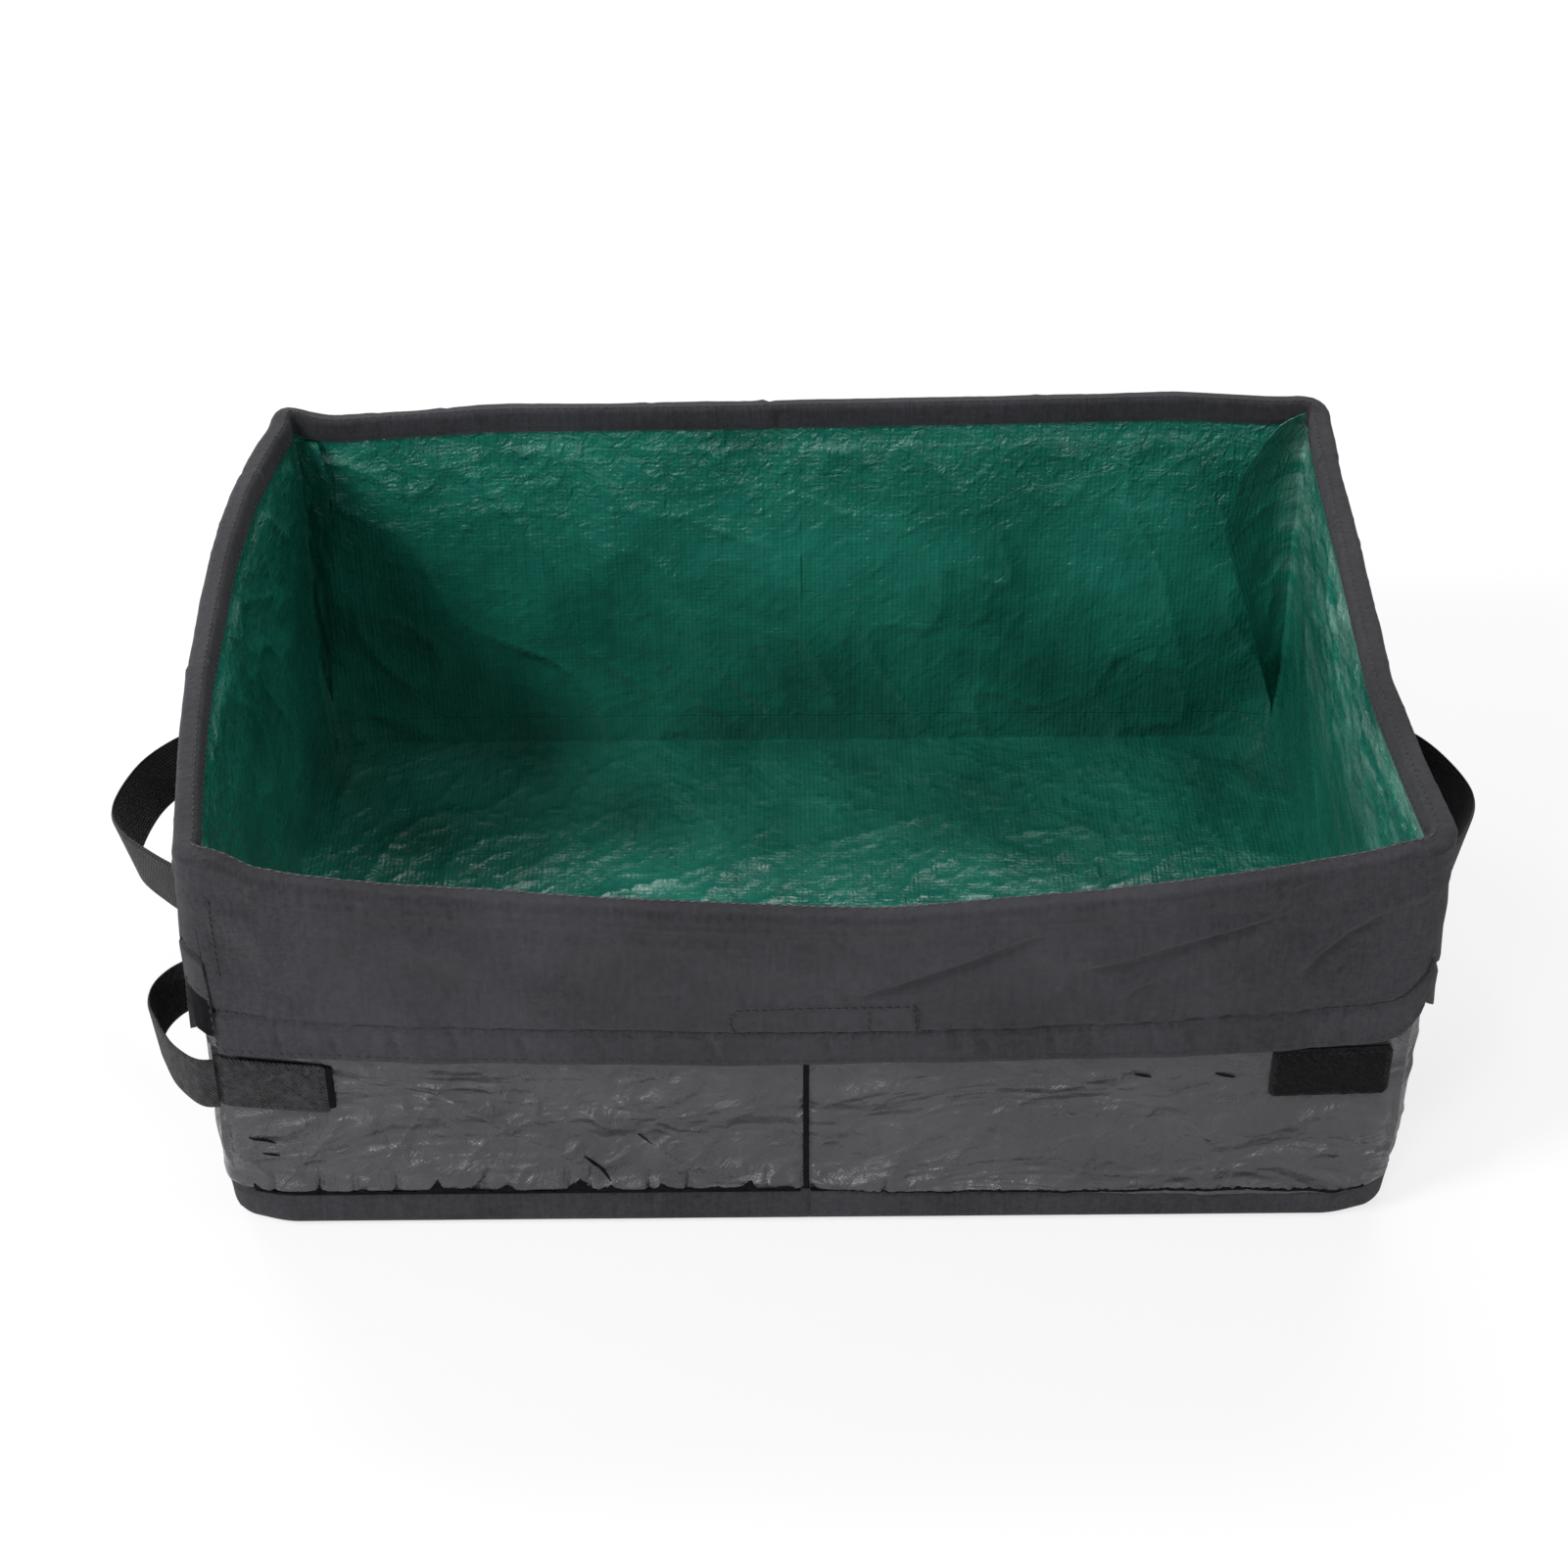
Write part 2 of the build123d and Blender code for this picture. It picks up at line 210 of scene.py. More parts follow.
# %% A small helper for node trees
class Tree:
    """Adds and joins shader nodes with less writing."""

    def __init__(self, name):
        self.material = bpy.data.materials.new(name)
        self.material.use_nodes = True
        self.nodes = self.material.node_tree.nodes
        self.links = self.material.node_tree.links
        self.shader = self.nodes["Principled BSDF"]

    def node(self, kind, inputs=None, **settings):
        node = self.nodes.new("ShaderNode" + kind)
        for key, value in settings.items():
            setattr(node, key, value)
        for key, value in (inputs or {}).items():
            if isinstance(value, bpy.types.NodeSocket):
                self.links.new(value, node.inputs[key])
            else:
                node.inputs[key].default_value = value
        return node

    def math(self, operation, a, b=None):
        inputs = {0: a} if b is None else {0: a, 1: b}
        return self.node("Math", inputs, operation=operation).outputs[0]

    def object_place(self):
        return self.node("TexCoord").outputs["Object"]

    def cloth_place(self):
        return self.node("UVMap", uv_map="Cloth").outputs["UV"]

    def noise(self, place, scale, detail=3.0, roughness=0.55, distortion=0.0):
        inputs = {"Vector": place, "Scale": scale, "Detail": detail, "Roughness": roughness,
                  "Distortion": distortion}
        return self.node("TexNoise", inputs).outputs["Fac"]

    def spread(self, value, low=0.0, high=1.0, to_low=0.0, to_high=1.0):
        """Maps a value from one range to another, held at its ends."""
        inputs = {"Value": value, "From Min": low, "From Max": high, "To Min": to_low, "To Max": to_high}
        return self.node("MapRange", inputs).outputs["Result"]

    def turned(self, place, scale, rotation=(0.0, 0.0, 0.0)):
        """The same place, turned and then counted in cells of another size."""
        return self.node("Mapping", {"Vector": place, "Rotation": rotation, "Scale": scale}).outputs["Vector"]

    def ramp(self, value, *stops):
        ramp = self.node("ValToRGB", {"Fac": value})
        elements = ramp.color_ramp.elements
        while len(elements) < len(stops):
            elements.new(0.5)
        for element, (place, colour) in zip(elements, stops):
            element.position = place
            element.color = (*colour, 1)
        return ramp.outputs["Color"]

    def bump(self, height, distance, strength=1.0, below=None):
        inputs = {"Height": height, "Distance": distance, "Strength": strength}
        if below is not None:
            inputs["Normal"] = below
        return self.node("Bump", inputs).outputs["Normal"]

    def weave(self, pitch_along, pitch_up):
        """Height of a plain weave: two sets of threads that pass over each other in turn."""
        parts = self.node("SeparateXYZ", {"Vector": self.cloth_place()})
        along = self.math("MULTIPLY", parts.outputs["X"], math.tau / pitch_along)
        up = self.math("MULTIPLY", parts.outputs["Y"], math.tau / pitch_up)
        return self.math("MULTIPLY", self.math("SINE", along), self.math("SINE", up))

    def finish(self, color, roughness, normal=None, **constants):
        for key, value in (("Base Color", color), ("Roughness", roughness), ("Normal", normal)):
            if isinstance(value, bpy.types.NodeSocket):
                self.links.new(value, self.shader.inputs[key])
            elif value is not None:
                self.shader.inputs[key].default_value = value
        for key, value in constants.items():
            self.shader.inputs[key.replace("_", " ")].default_value = value
        return self.material


# %% [markdown]
# The skirt, the rim and the base band are a matte charcoal cloth. Its shade drifts a little, it has a
# fine plain weave, and a soft sheen where it turns away.

# %% Matte cloth
def matte_cloth():
    tree = Tree("oxford_cloth")
    place = tree.object_place()
    drift = tree.noise(place, 14.0, 4.0)
    fleck = tree.noise(place, 480.0, 4.0, 0.75)
    streak = tree.turned(tree.cloth_place(), (900.0, 60.0, 1.0))
    yarns = tree.noise(streak, 1.0, 2.0)
    grain = tree.math("ADD", tree.math("MULTIPLY", fleck, 0.40), tree.math("MULTIPLY", yarns, 0.22))
    shade = tree.math("ADD", tree.math("MULTIPLY", drift, 0.38), grain)
    color = tree.ramp(shade, (0.38, (0.0150, 0.0146, 0.0178)), (0.62, (0.043, 0.042, 0.049)))
    threads = tree.bump(tree.weave(0.0011, 0.0011), 0.00012, 0.9)
    normal = tree.bump(tree.noise(place, 110.0, 5.0), 0.0010, 0.5, threads)
    return tree.finish(color, 0.82, normal, Specular_IOR_Level=0.18, Sheen_Weight=0.04, Sheen_Roughness=0.5)


# %% [markdown]
# The outside of the walls is a coated film. It is smoother than the cloth, it catches the light on its
# creases, and it has many small ones that are too fine to model, so they are bump.

# %% Creased film
def creased_film():
    tree = Tree("shell_film")
    place = tree.object_place()
    drift = tree.noise(place, 18.0, 5.0)
    color = tree.ramp(drift, (0.3, (0.030, 0.029, 0.034)), (0.7, (0.050, 0.049, 0.056)))
    ridge = tree.noise(tree.turned(place, (15, 30, 34), (0, 0.6, 0)), 1.0, 3.0, 0.5, 0.7)
    crumple = tree.noise(place, 75.0, 6.0, 0.6, 1.0)
    threads = tree.bump(tree.weave(0.0016, 0.0016), 0.00005, 0.6)
    fine = tree.bump(crumple, 0.0020, 1.0, threads)
    normal = tree.bump(ridge, 0.0140, 1.0, fine)
    rough = tree.spread(tree.noise(place, 120.0, 3.0), to_low=0.18, to_high=0.32)
    return tree.finish(color, rough, normal, Specular_IOR_Level=0.5)


# %% [markdown]
# The liner is green woven tape with a glossy coat, like a tarpaulin. The tapes are about two
# millimetres wide and show as a faint crosshatch under the gloss.

# %% Green coated liner
def green_liner():
    tree = Tree("green_liner")
    place = tree.object_place()
    parts = tree.node("SeparateXYZ", {"Vector": tree.cloth_place()})
    along = tree.math("SINE", tree.math("MULTIPLY", parts.outputs["X"], math.tau / 0.0019))
    up = tree.math("SINE", tree.math("MULTIPLY", parts.outputs["Y"], math.tau / 0.0019))
    tapes = tree.noise(tree.turned(tree.cloth_place(), (420.0, 9.0, 1.0)), 1.0, 2.0)
    hatch = tree.math("ADD", tree.math("MULTIPLY", along, 0.35), tree.math("MULTIPLY", up, 0.2))
    hatch = tree.math("ADD", hatch, tree.math("MULTIPLY", tree.math("SUBTRACT", tapes, 0.5), 2.4))
    drift = tree.noise(place, 16.0, 5.0)
    shade = tree.math("ADD", drift, tree.math("MULTIPLY", hatch, 0.07))
    color = tree.ramp(shade, (0.3, (0.004, 0.076, 0.053)), (0.7, (0.014, 0.180, 0.129)))
    threads = tree.bump(hatch, 0.00010, 1.0)
    # Painted reflection: a pale, streaked patch is mixed into the green on the upper part of the right end
    # wall, where the glossy liner catches light.
    spot = tree.node("SeparateXYZ", {"Vector": place})
    level = spot.outputs["Z"]
    slanted = tree.turned(place, (10, 16, 120), (0.9, 0, 0))
    reflection_streaks = tree.spread(tree.noise(slanted, 1.0, 4.0, 0.6), 0.42, 0.66)
    at_right = tree.spread(spot.outputs["X"], 0.192, 0.203)
    high_up = tree.spread(level, 0.055, 0.14, to_high=0.62)
    painted_reflection_mask = tree.math("MULTIPLY", tree.math("MULTIPLY", at_right, high_up), reflection_streaks)
    inputs = {"Fac": painted_reflection_mask, "Color1": color, "Color2": (0.26, 0.42, 0.37, 1)}
    color = tree.node("MixRGB", inputs).outputs["Color"]
    upper = tree.spread(level, 0.10, 0.152, 0.3, 1.0)
    sparkle = tree.math("MULTIPLY", tree.noise(place, 150.0, 4.0, 0.6, 1.4), upper)
    crumple = tree.noise(place, 26.0, 4.0, 0.5, 0.8)
    fine = tree.bump(sparkle, 0.0022, 1.0, threads)
    normal = tree.bump(crumple, 0.0034, 1.0, fine)
    rough = tree.spread(tree.noise(place, 90.0, 3.0), to_low=0.16, to_high=0.36)
    return tree.finish(
        color, rough, normal, Specular_IOR_Level=0.45, Coat_Weight=0.18, Coat_Roughness=0.14
    )


# %% [markdown]
# Webbing is woven with ribs along it. The hook and loop tapes are black, one fuzzy and one bristly. The
# thread and the stiffening board complete the set.

# %% Webbing, tapes, thread and board
def black_webbing():
    tree = Tree("webbing")
    place = tree.object_place()
    parts = tree.node("SeparateXYZ", {"Vector": tree.cloth_place()})
    along = tree.math("MULTIPLY", parts.outputs["X"], math.tau / 0.0016)
    across = tree.math("MULTIPLY", parts.outputs["Y"], math.tau / 0.0014)
    twill = tree.math("SINE", tree.math("ADD", along, tree.math("MULTIPLY", across, 0.5)))
    ribs = tree.math("ADD", tree.math("MULTIPLY", twill, 0.5), tree.math("COSINE", across))
    color = tree.ramp(tree.noise(place, 120.0, 4.0), (0.3, (0.006, 0.006, 0.007)),
                      (0.7, (0.016, 0.016, 0.017)))
    normal = tree.bump(ribs, 0.00022, 0.9)
    return tree.finish(color, 0.7, normal, Specular_IOR_Level=0.25, Sheen_Weight=0.04, Sheen_Roughness=0.4)


def twill_strap():
    tree = Tree("strap_twill")
    place = tree.object_place()
    parts = tree.node("SeparateXYZ", {"Vector": tree.cloth_place()})
    slanting = tree.math("ADD", parts.outputs["X"], parts.outputs["Y"])
    rows = tree.math("SINE", tree.math("MULTIPLY", slanting, math.tau / 0.0015))
    ticks = tree.math("SINE", tree.math("MULTIPLY", parts.outputs["Y"], math.tau / 0.0008))
    pattern = tree.math("ADD", tree.math("MULTIPLY", rows, 0.7), tree.math("MULTIPLY", ticks, 0.3))
    shade = tree.math("ADD", tree.noise(place, 420.0, 4.0, 0.7), tree.math("MULTIPLY", pattern, 0.10))
    color = tree.ramp(shade, (0.34, (0.004, 0.004, 0.005)), (0.70, (0.040, 0.040, 0.043)))
    normal = tree.bump(tree.math("ADD", pattern, tree.noise(place, 600.0, 3.0)), 0.0003, 0.9)
    return tree.finish(color, 0.8, normal, Specular_IOR_Level=0.2, Sheen_Weight=0.04, Sheen_Roughness=0.5)


def fuzzy_tape(name, low, high):
    tree = Tree(name)
    place = tree.object_place()
    color = tree.ramp(tree.noise(place, 700.0, 4.0, 0.7), (0.35, low), (0.7, high))
    normal = tree.bump(tree.noise(place, 900.0, 5.0, 0.7), 0.0009, 1.0)
    return tree.finish(color, 0.9, normal, Specular_IOR_Level=0.1, Sheen_Weight=0.05, Sheen_Roughness=0.6)


def thread(name, dark, pale):
    tree = Tree(name)
    color = tree.ramp(tree.noise(tree.object_place(), 1500.0, 2.0), (0.3, dark), (0.7, pale))
    return tree.finish(color, 0.6, None, Specular_IOR_Level=0.4)


# Near-black cloth. It colours the seam tapes and the strap's anchor bar, and it is painted shade in the strip
# above the band, along some film creases and in the hem tunnel's open end.
def dark_inside():
    tree = Tree("dark_inside")
    place = tree.object_place()
    color = tree.ramp(tree.noise(place, 300.0, 4.0), (0.3, (0.0015, 0.0015, 0.002)),
                      (0.7, (0.006, 0.006, 0.007)))
    normal = tree.bump(tree.noise(place, 500.0, 4.0), 0.0003, 0.6)
    return tree.finish(color, 0.9, normal, Specular_IOR_Level=0.08)


def board_sheet():
    tree = Tree("stiffener")
    place = tree.object_place()
    color = tree.ramp(tree.noise(place, 60.0, 5.0), (0.3, (0.40, 0.40, 0.38)), (0.7, (0.55, 0.55, 0.53)))
    return tree.finish(color, 0.7, tree.bump(tree.noise(place, 300.0, 4.0), 0.0002, 0.5))


MATERIALS = {
    "oxford_cloth": matte_cloth(),
    "shell_film": creased_film(),
    "green_liner": green_liner(),
    "webbing": black_webbing(),
    "strap_twill": twill_strap(),
    "loop_tape": fuzzy_tape("loop_tape", (0.003, 0.003, 0.004), (0.012, 0.012, 0.014)),
    "hook_tape": fuzzy_tape("hook_tape", (0.006, 0.006, 0.006), (0.03, 0.03, 0.03)),
    "dark_inside": dark_inside(),
    "stiffener": board_sheet(),
    "dark_thread": thread("dark_thread", (0.006, 0.006, 0.007), (0.018, 0.018, 0.02)),
    # A lighter copy of the dark thread, a painted highlight, used only for the front rim's stitches.
    "painted_highlight_thread": thread("painted_highlight_thread", (0.045, 0.045, 0.05), (0.085, 0.085, 0.09)),
    "black_thread": thread("black_thread", (0.004, 0.004, 0.004), (0.012, 0.012, 0.012)),
}
SLOTS = {part["node"]: part["material_slot"] for part in frame["record"]["subparts"]}
for node_name, node_object in frame["nodes"].items():
    node_object.data.materials.clear()
    node_object.data.materials.append(MATERIALS[SLOTS[node_name]])

# %% [markdown]
# ## The ring
# Lengths from here on are in millimetres and become metres when a mesh is made. A place on the box is
# given by t, the way round from the middle of the front wall, to the right above zero and to the left
# below it, by z, its height, and by how far out it lies from the face of the walls.

# %% Sizes of the ring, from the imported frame
MM = 1000.0


def node_box(name):
    low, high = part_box(name)
    return np.array(low) * MM, np.array(high) * MM


FACE_X = node_box("right_end_cover")[1][0]
FACE_Y = -node_box("front_left_cover")[0][1]
RIM = node_box("front_left_binding")[1][2]
CORNER = 10.0
LONG_HALF = FACE_X - CORNER
END_HALF = FACE_Y - CORNER
ARC = CORNER * math.pi / 2
HALF_RING = 2 * LONG_HALF + 2 * ARC + 2 * END_HALF
FOLD = {
    "front": node_box("front_left_liner")[0][2],
    "rear": node_box("rear_left_liner")[0][2],
    "left": node_box("left_end_liner")[0][2],
    "right": node_box("right_end_liner")[0][2],
}
BAND_TOP = node_box("base_band_left")[1][2]
EDGE_MIDDLE = node_box("front_left_cuff")[0][2]
EDGE_END = node_box("left_end_cuff")[0][2]
EDGE_RADIUS = 2960.0  # on the ends and at the rear, the skirt's lower edge is a very wide arc
HINGE_Z = node_box("front_left_cuff")[1][2]
print("half ring", HALF_RING, "folds", FOLD, "edge", EDGE_MIDDLE, EDGE_END)


def way_round(side, place):
    """The ring's t for a place on a wall: x on the long walls, y on the ends."""
    if side == "front":
        return place
    if side in ("left", "right"):
        t = LONG_HALF + ARC + place + END_HALF
        return t if side == "right" else -t
    t = HALF_RING - abs(place)
    return t if place >= 0 else -t


# %% [markdown]
# The rim of the real box isn't straight. The front one bows out and sags towards the middle, the left
# one bows out and the right one leans in a little. A few keys round the ring give both, and a soft
# window smooths what lies between them.

# %% How the rim bows and sags
RIM_KEYS = [
    ("front", -197, -2, -1), ("front", -190, 0, 0.5), ("front", -182, 4, 3), ("front", -166, 6.6, 4.2),
    ("front", -136, 9.4, 5.8), ("front", -85, 12.8, 7.9), ("front", -40, 15.2, 9.4), ("front", 0, 17, 10.5),
    ("front", 24, 17.5, 11), ("front", 56, 15.4, 9.5), ("front", 88, 13.2, 8.2), ("front", 120, 10.8, 6.6),
    ("front", 151, 7.2, 4.4), ("front", 183, 3, 1), ("front", 197, 0.5, -2),
    ("left", -133, -3.5, 0), ("left", -100, 1, 1), ("left", -68, 4.7, 1), ("left", -35, 7.3, 1),
    ("left", 41, 9.4, 0), ("left", 82, 7.7, 0), ("left", 118, 2, 0), ("left", 133, -2, 0),
    ("right", -133, 0.5, -3), ("right", -100, -2, -1), ("right", -74, -4, 0), ("right", -46, -6, 0),
    ("right", 35, -4, 0.5), ("right", 97, -3.5, 0), ("right", 133, -2, 0),
    ("rear", -206, 0, -2.5), ("rear", -199, -1, 1.5), ("rear", -188, 0, 4.5), ("rear", -124, 2, 1),
    ("rear", -22, 3, 1), ("rear", -0.1, 3, 0.5), ("rear", 0, 3, 0.5), ("rear", 72, 2, -1),
    ("rear", 150, 1, -3), ("rear", 178, 0.5, -1.5), ("rear", 189, 0, -1.0), ("rear", 206, 0, -1.5),
]
KEY_T = np.array([way_round(side, place) for side, place, _, _ in RIM_KEYS], float)
KEY_ORDER = np.argsort(KEY_T)
DENSE_T = np.arange(-HALF_RING - 60, HALF_RING + 60, 1.0)
WINDOW = np.hanning(17)
WINDOW /= WINDOW.sum()


def smoothed(column):
    values = np.array([key[column] for key in RIM_KEYS], float)[KEY_ORDER]
    wrapped = (DENSE_T + HALF_RING) % (2 * HALF_RING) - HALF_RING
    dense = np.interp(wrapped, KEY_T[KEY_ORDER], values, period=2 * HALF_RING)
    return np.convolve(dense, WINDOW, mode="same")


RIM_OUT = smoothed(2)
RIM_DROP = smoothed(3)


# %% [markdown]
# Creases are made of gradient noise, the kind that also drives procedural textures. It is written out
# here with numpy so that it can move the points of a mesh. Ridges come from folding it at zero.

# %% Noise for creases
def gradient_noise(a, b, seed):
    """Smooth noise between about -1 and 1 over two coordinates counted in cells."""
    random = np.random.RandomState(seed)
    angles = random.uniform(0, math.tau, 4096)
    cell_a, cell_b = np.floor(a).astype(int), np.floor(b).astype(int)
    part_a, part_b = a - cell_a, b - cell_b
    ease_a = part_a**3 * (part_a * (part_a * 6 - 15) + 10)
    ease_b = part_b**3 * (part_b * (part_b * 6 - 15) + 10)
    total = np.zeros(np.broadcast(a, b).shape)
    for da in (0, 1):
        for db in (0, 1):
            turn = angles[((cell_a + da) * 73 + (cell_b + db) * 1571 + seed * 131) % 4096]
            slope = np.cos(turn) * (part_a - da) + np.sin(turn) * (part_b - db)
            weight = (ease_a if da else 1 - ease_a) * (ease_b if db else 1 - ease_b)
            total = total + slope * weight
    return total * 1.6


def ridges(along, up, size, seed, lean=0.0, stretch=1.0):
    """Sharp crests between 0 and 1, longer along their lean than across it."""
    a = along * math.cos(lean) + up * math.sin(lean)
    b = up * math.cos(lean) - along * math.sin(lean)
    return 1 - np.minimum(1, np.abs(gradient_noise(a / (size * stretch), b / size, seed)) * 2.2)


def ease(value, low, high):
    """0 below low, 1 above high and smooth between them."""
    share = np.clip((value - low) / (high - low), 0, 1)
    return share * share * (3 - 2 * share)


# %% Creases along a line
def crease(t, z, points, width, sharp=True):
    """1 on a line through points and less beside it. A sharp crease comes to an edge, a soft one is round."""
    t, z = np.broadcast_arrays(np.asarray(t, float), np.asarray(z, float))
    nearest = np.full(t.shape, 1e9)
    for (a, b), (c, d) in zip(points, points[1:]):
        share = np.clip(((t - a) * (c - a) + (z - b) * (d - b)) / ((c - a) ** 2 + (d - b) ** 2), 0, 1)
        nearest = np.minimum(nearest, np.hypot(t - a - share * (c - a), z - b - share * (d - b)))
    first, last = points[0], points[-1]
    ends = np.minimum(np.hypot(t - first[0], z - first[1]), np.hypot(t - last[0], z - last[1]))
    profile = np.exp(-nearest / width) if sharp else np.exp(-((nearest / width) ** 2))
    return profile * (0.25 + 0.75 * ease(ends, 0, 9))


# %% The ring itself
def foot_rounding(way, z):
    """How much the corners are pulled in near the ground, where the bag is rounder than at its rim."""
    from_front = np.abs(way - LONG_HALF - ARC / 2)
    from_rear = np.abs(way - LONG_HALF - 1.5 * ARC - 2 * END_HALF)
    share = np.clip(1 - np.minimum(from_front, from_rear) / 24, 0, 1)
    return 5.0 * np.sin(share * math.pi / 2) ** 2 * (1 - ease(z, 0, 46))


def ring(t, z, out):
    """Points of the ring, bowed and sagged, as x, y, z in millimetres."""
    t, z, out = np.broadcast_arrays(np.asarray(t, float), np.asarray(z, float), np.asarray(out, float))
    side = np.where(t < 0, -1.0, 1.0)
    way = np.abs(t)
    angle = np.clip((way - LONG_HALF) / CORNER, 0, math.pi / 2)
    end_way = np.clip(way - LONG_HALF - ARC, 0, 2 * END_HALF)
    angle = angle + np.clip((way - LONG_HALF - ARC - 2 * END_HALF) / CORNER, 0, math.pi / 2)
    rear_way = np.clip(way - LONG_HALF - 2 * ARC - 2 * END_HALF, 0, None)
    share = np.interp(t, DENSE_T, RIM_OUT)
    front_lift = np.clip((z - 60) / (RIM - 60), 0, 1.1) ** 1.4
    other_lift = np.clip(z / RIM, 0, 1.1) ** 1.6
    at_front = 1 - ease(way, LONG_HALF - 6, LONG_HALF + ARC)
    bow = share * (at_front * front_lift + (1 - at_front) * other_lift)
    reach = CORNER + out + bow - foot_rounding(way, z)
    near_front = np.minimum(way, LONG_HALF)
    x = side * (near_front + reach * np.sin(angle) - rear_way)
    y = -END_HALF - reach * np.cos(angle) + end_way
    drop = np.interp(t, DENSE_T, RIM_DROP) * np.clip((z - EDGE_MIDDLE) / (RIM - EDGE_MIDDLE), 0, 1.05)
    return np.stack([x, y, z - drop], axis=-1)


# %% [markdown]
# ## From a surface to a piece
# A piece of cloth is a closed shell: an outer skin, an inner skin and a narrow edge between them. The
# normals are measured on the surface itself, not on the mesh, so two pieces that meet shade alike.

# %% Build closed shells
def normals_of(surface, U, V, step_u, step_v):
    along = surface(U + step_u, V) - surface(U - step_u, V)
    up = surface(U, V + step_v) - surface(U, V - step_v)
    normal = np.cross(along, up)
    length = np.linalg.norm(normal, axis=-1, keepdims=True)
    return normal / np.maximum(length, 1e-9)


def lifted(surface, amount, step_u=0.5, step_v=0.5):
    """The same surface, moved along its own normal."""
    return lambda U, V: surface(U, V) + normals_of(surface, U, V, step_u, step_v) * amount


def grid(n, m):
    """Point numbers of a grid and its quads."""
    cell = np.arange(n * m).reshape(n, m)
    quads = np.stack([cell[:-1, :-1], cell[1:, :-1], cell[1:, 1:], cell[:-1, 1:]], axis=-1)
    return cell, quads.reshape(-1, 4)


def shell(name, front, back, us, vs, steps=(0.5, 0.5), chart=None, material="oxford_cloth"):
    """A closed shell between two surfaces over a grid, with measured normals and a Cloth map."""
    us, vs = np.asarray(us, float), np.asarray(vs, float)
    U, V = np.meshgrid(us, vs, indexing="ij")
    n, m = U.shape
    outer, inner = front(U, V), back(U, V)
    outer_normal = normals_of(front, U, V, *steps)
    inner_normal = -normals_of(back, U, V, *steps)
    cell, quads = grid(n, m)
    shift = n * m
    border = np.concatenate([cell[:, 0], cell[-1, 1:], cell[-2::-1, -1], cell[0, -2:0:-1]])
    after = np.roll(border, -1)
    edge = np.stack([border + shift, after + shift, after, border], axis=-1)
    faces = np.concatenate([quads, quads[:, ::-1] + shift, edge])
    points = np.concatenate([outer.reshape(-1, 3), inner.reshape(-1, 3)]) / MM
    mesh = bpy.data.meshes.new(name)
    mesh.from_pydata(points.tolist(), [], faces.tolist())
    cu, cv = chart(U, V) if chart else (U, V)
    flat = np.stack([np.broadcast_to(cu, U.shape), np.broadcast_to(cv, U.shape)], axis=-1).reshape(-1, 2) / MM
    flat = np.concatenate([flat, flat])
    layer = mesh.uv_layers.new(name="Cloth")
    layer.data.foreach_set("uv", flat[faces.ravel()].ravel().astype(np.float32))
    vertex_normals = np.concatenate([outer_normal.reshape(-1, 3), inner_normal.reshape(-1, 3)])
    corner_normals = vertex_normals[faces.ravel()].reshape(-1, 4, 3)
    ring_points = points[edge]
    flat_edge = np.cross(ring_points[:, 2] - ring_points[:, 0], ring_points[:, 3] - ring_points[:, 1])
    flat_edge /= np.maximum(np.linalg.norm(flat_edge, axis=-1, keepdims=True), 1e-12)
    corner_normals[-len(edge):] = flat_edge[:, None, :]
    mesh.polygons.foreach_set("use_smooth", np.ones(len(faces), bool))
    mesh.normals_split_custom_set(corner_normals.reshape(-1, 3).tolist())
    mesh.materials.append(MATERIALS[material])
    piece = bpy.data.objects.new(name, mesh)
    bpy.context.scene.collection.objects.link(piece)
    return piece


def spaced(low, high, step):
    return np.linspace(low, high, max(2, int(math.ceil(abs(high - low) / step)) + 1))


PANELS = {
    "front_left": ("front", -LONG_HALF, 0.0),
    "front_right": ("front", 0.0, LONG_HALF),
    "left_end": ("left", -(LONG_HALF + ARC + 2 * END_HALF), -(LONG_HALF + ARC)),
    "right_end": ("right", LONG_HALF + ARC, LONG_HALF + ARC + 2 * END_HALF),
    "rear_left": ("rear", -HALF_RING, -(HALF_RING - LONG_HALF)),
    "rear_right": ("rear", HALF_RING - LONG_HALF, HALF_RING),
}


def spans(panel):
    """The t ranges of a panel's cloth: the flat part first, then a corner flap of its own at the front."""
    side, low, high = PANELS[panel]
    flap = ARC / 2
    if panel == "front_left":
        return [("", low, high), ("_corner", low - flap, low)]
    if panel == "front_right":
        return [("", low, high), ("_corner", high, high + flap)]
    if side == "rear":
        return [("", low, high + flap)] if panel == "rear_left" else [("", low - flap, high)]
    return [("", low - flap, high + flap)]


def fasten(piece, body, node=None):
    """Ride on a body and stand for a node of the CAD, which it hides."""
    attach(piece, body)
    if node:
        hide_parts(node)


def settle(piece, panel, body, suffix):
    """Ride on a body, with a mesh of its own."""
    fasten(piece, body)
    side = PANELS[panel][0]
    if side == "front" and suffix:
        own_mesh(piece)
    elif side == "front":
        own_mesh(piece)
    elif side == "rear":
        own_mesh(piece)
    else:
        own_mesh(piece)


# Every mesh step is multiplied by this; 2 makes the steps twice as long
GRAIN = 1.0

# How far out each layer's faces lie from the face of the walls, in millimetres
FILM_FACE, FILM_BACK = 0.2, -0.7
BOARD_FACE, BOARD_BACK = -0.85, -2.75
LINER_BACK, LINER_FACE = -2.85, -3.35
RISER_BACK = -2.7


# %% [markdown]
# ## Film cover
# The walls are wrapped in the film. It is pulled round stiff boards, so it can't hang in folds, but it
# has long slanting creases and it bunches up where it is sewn to the base band. Pressed places, such as
# under a sewn patch, stay flat.

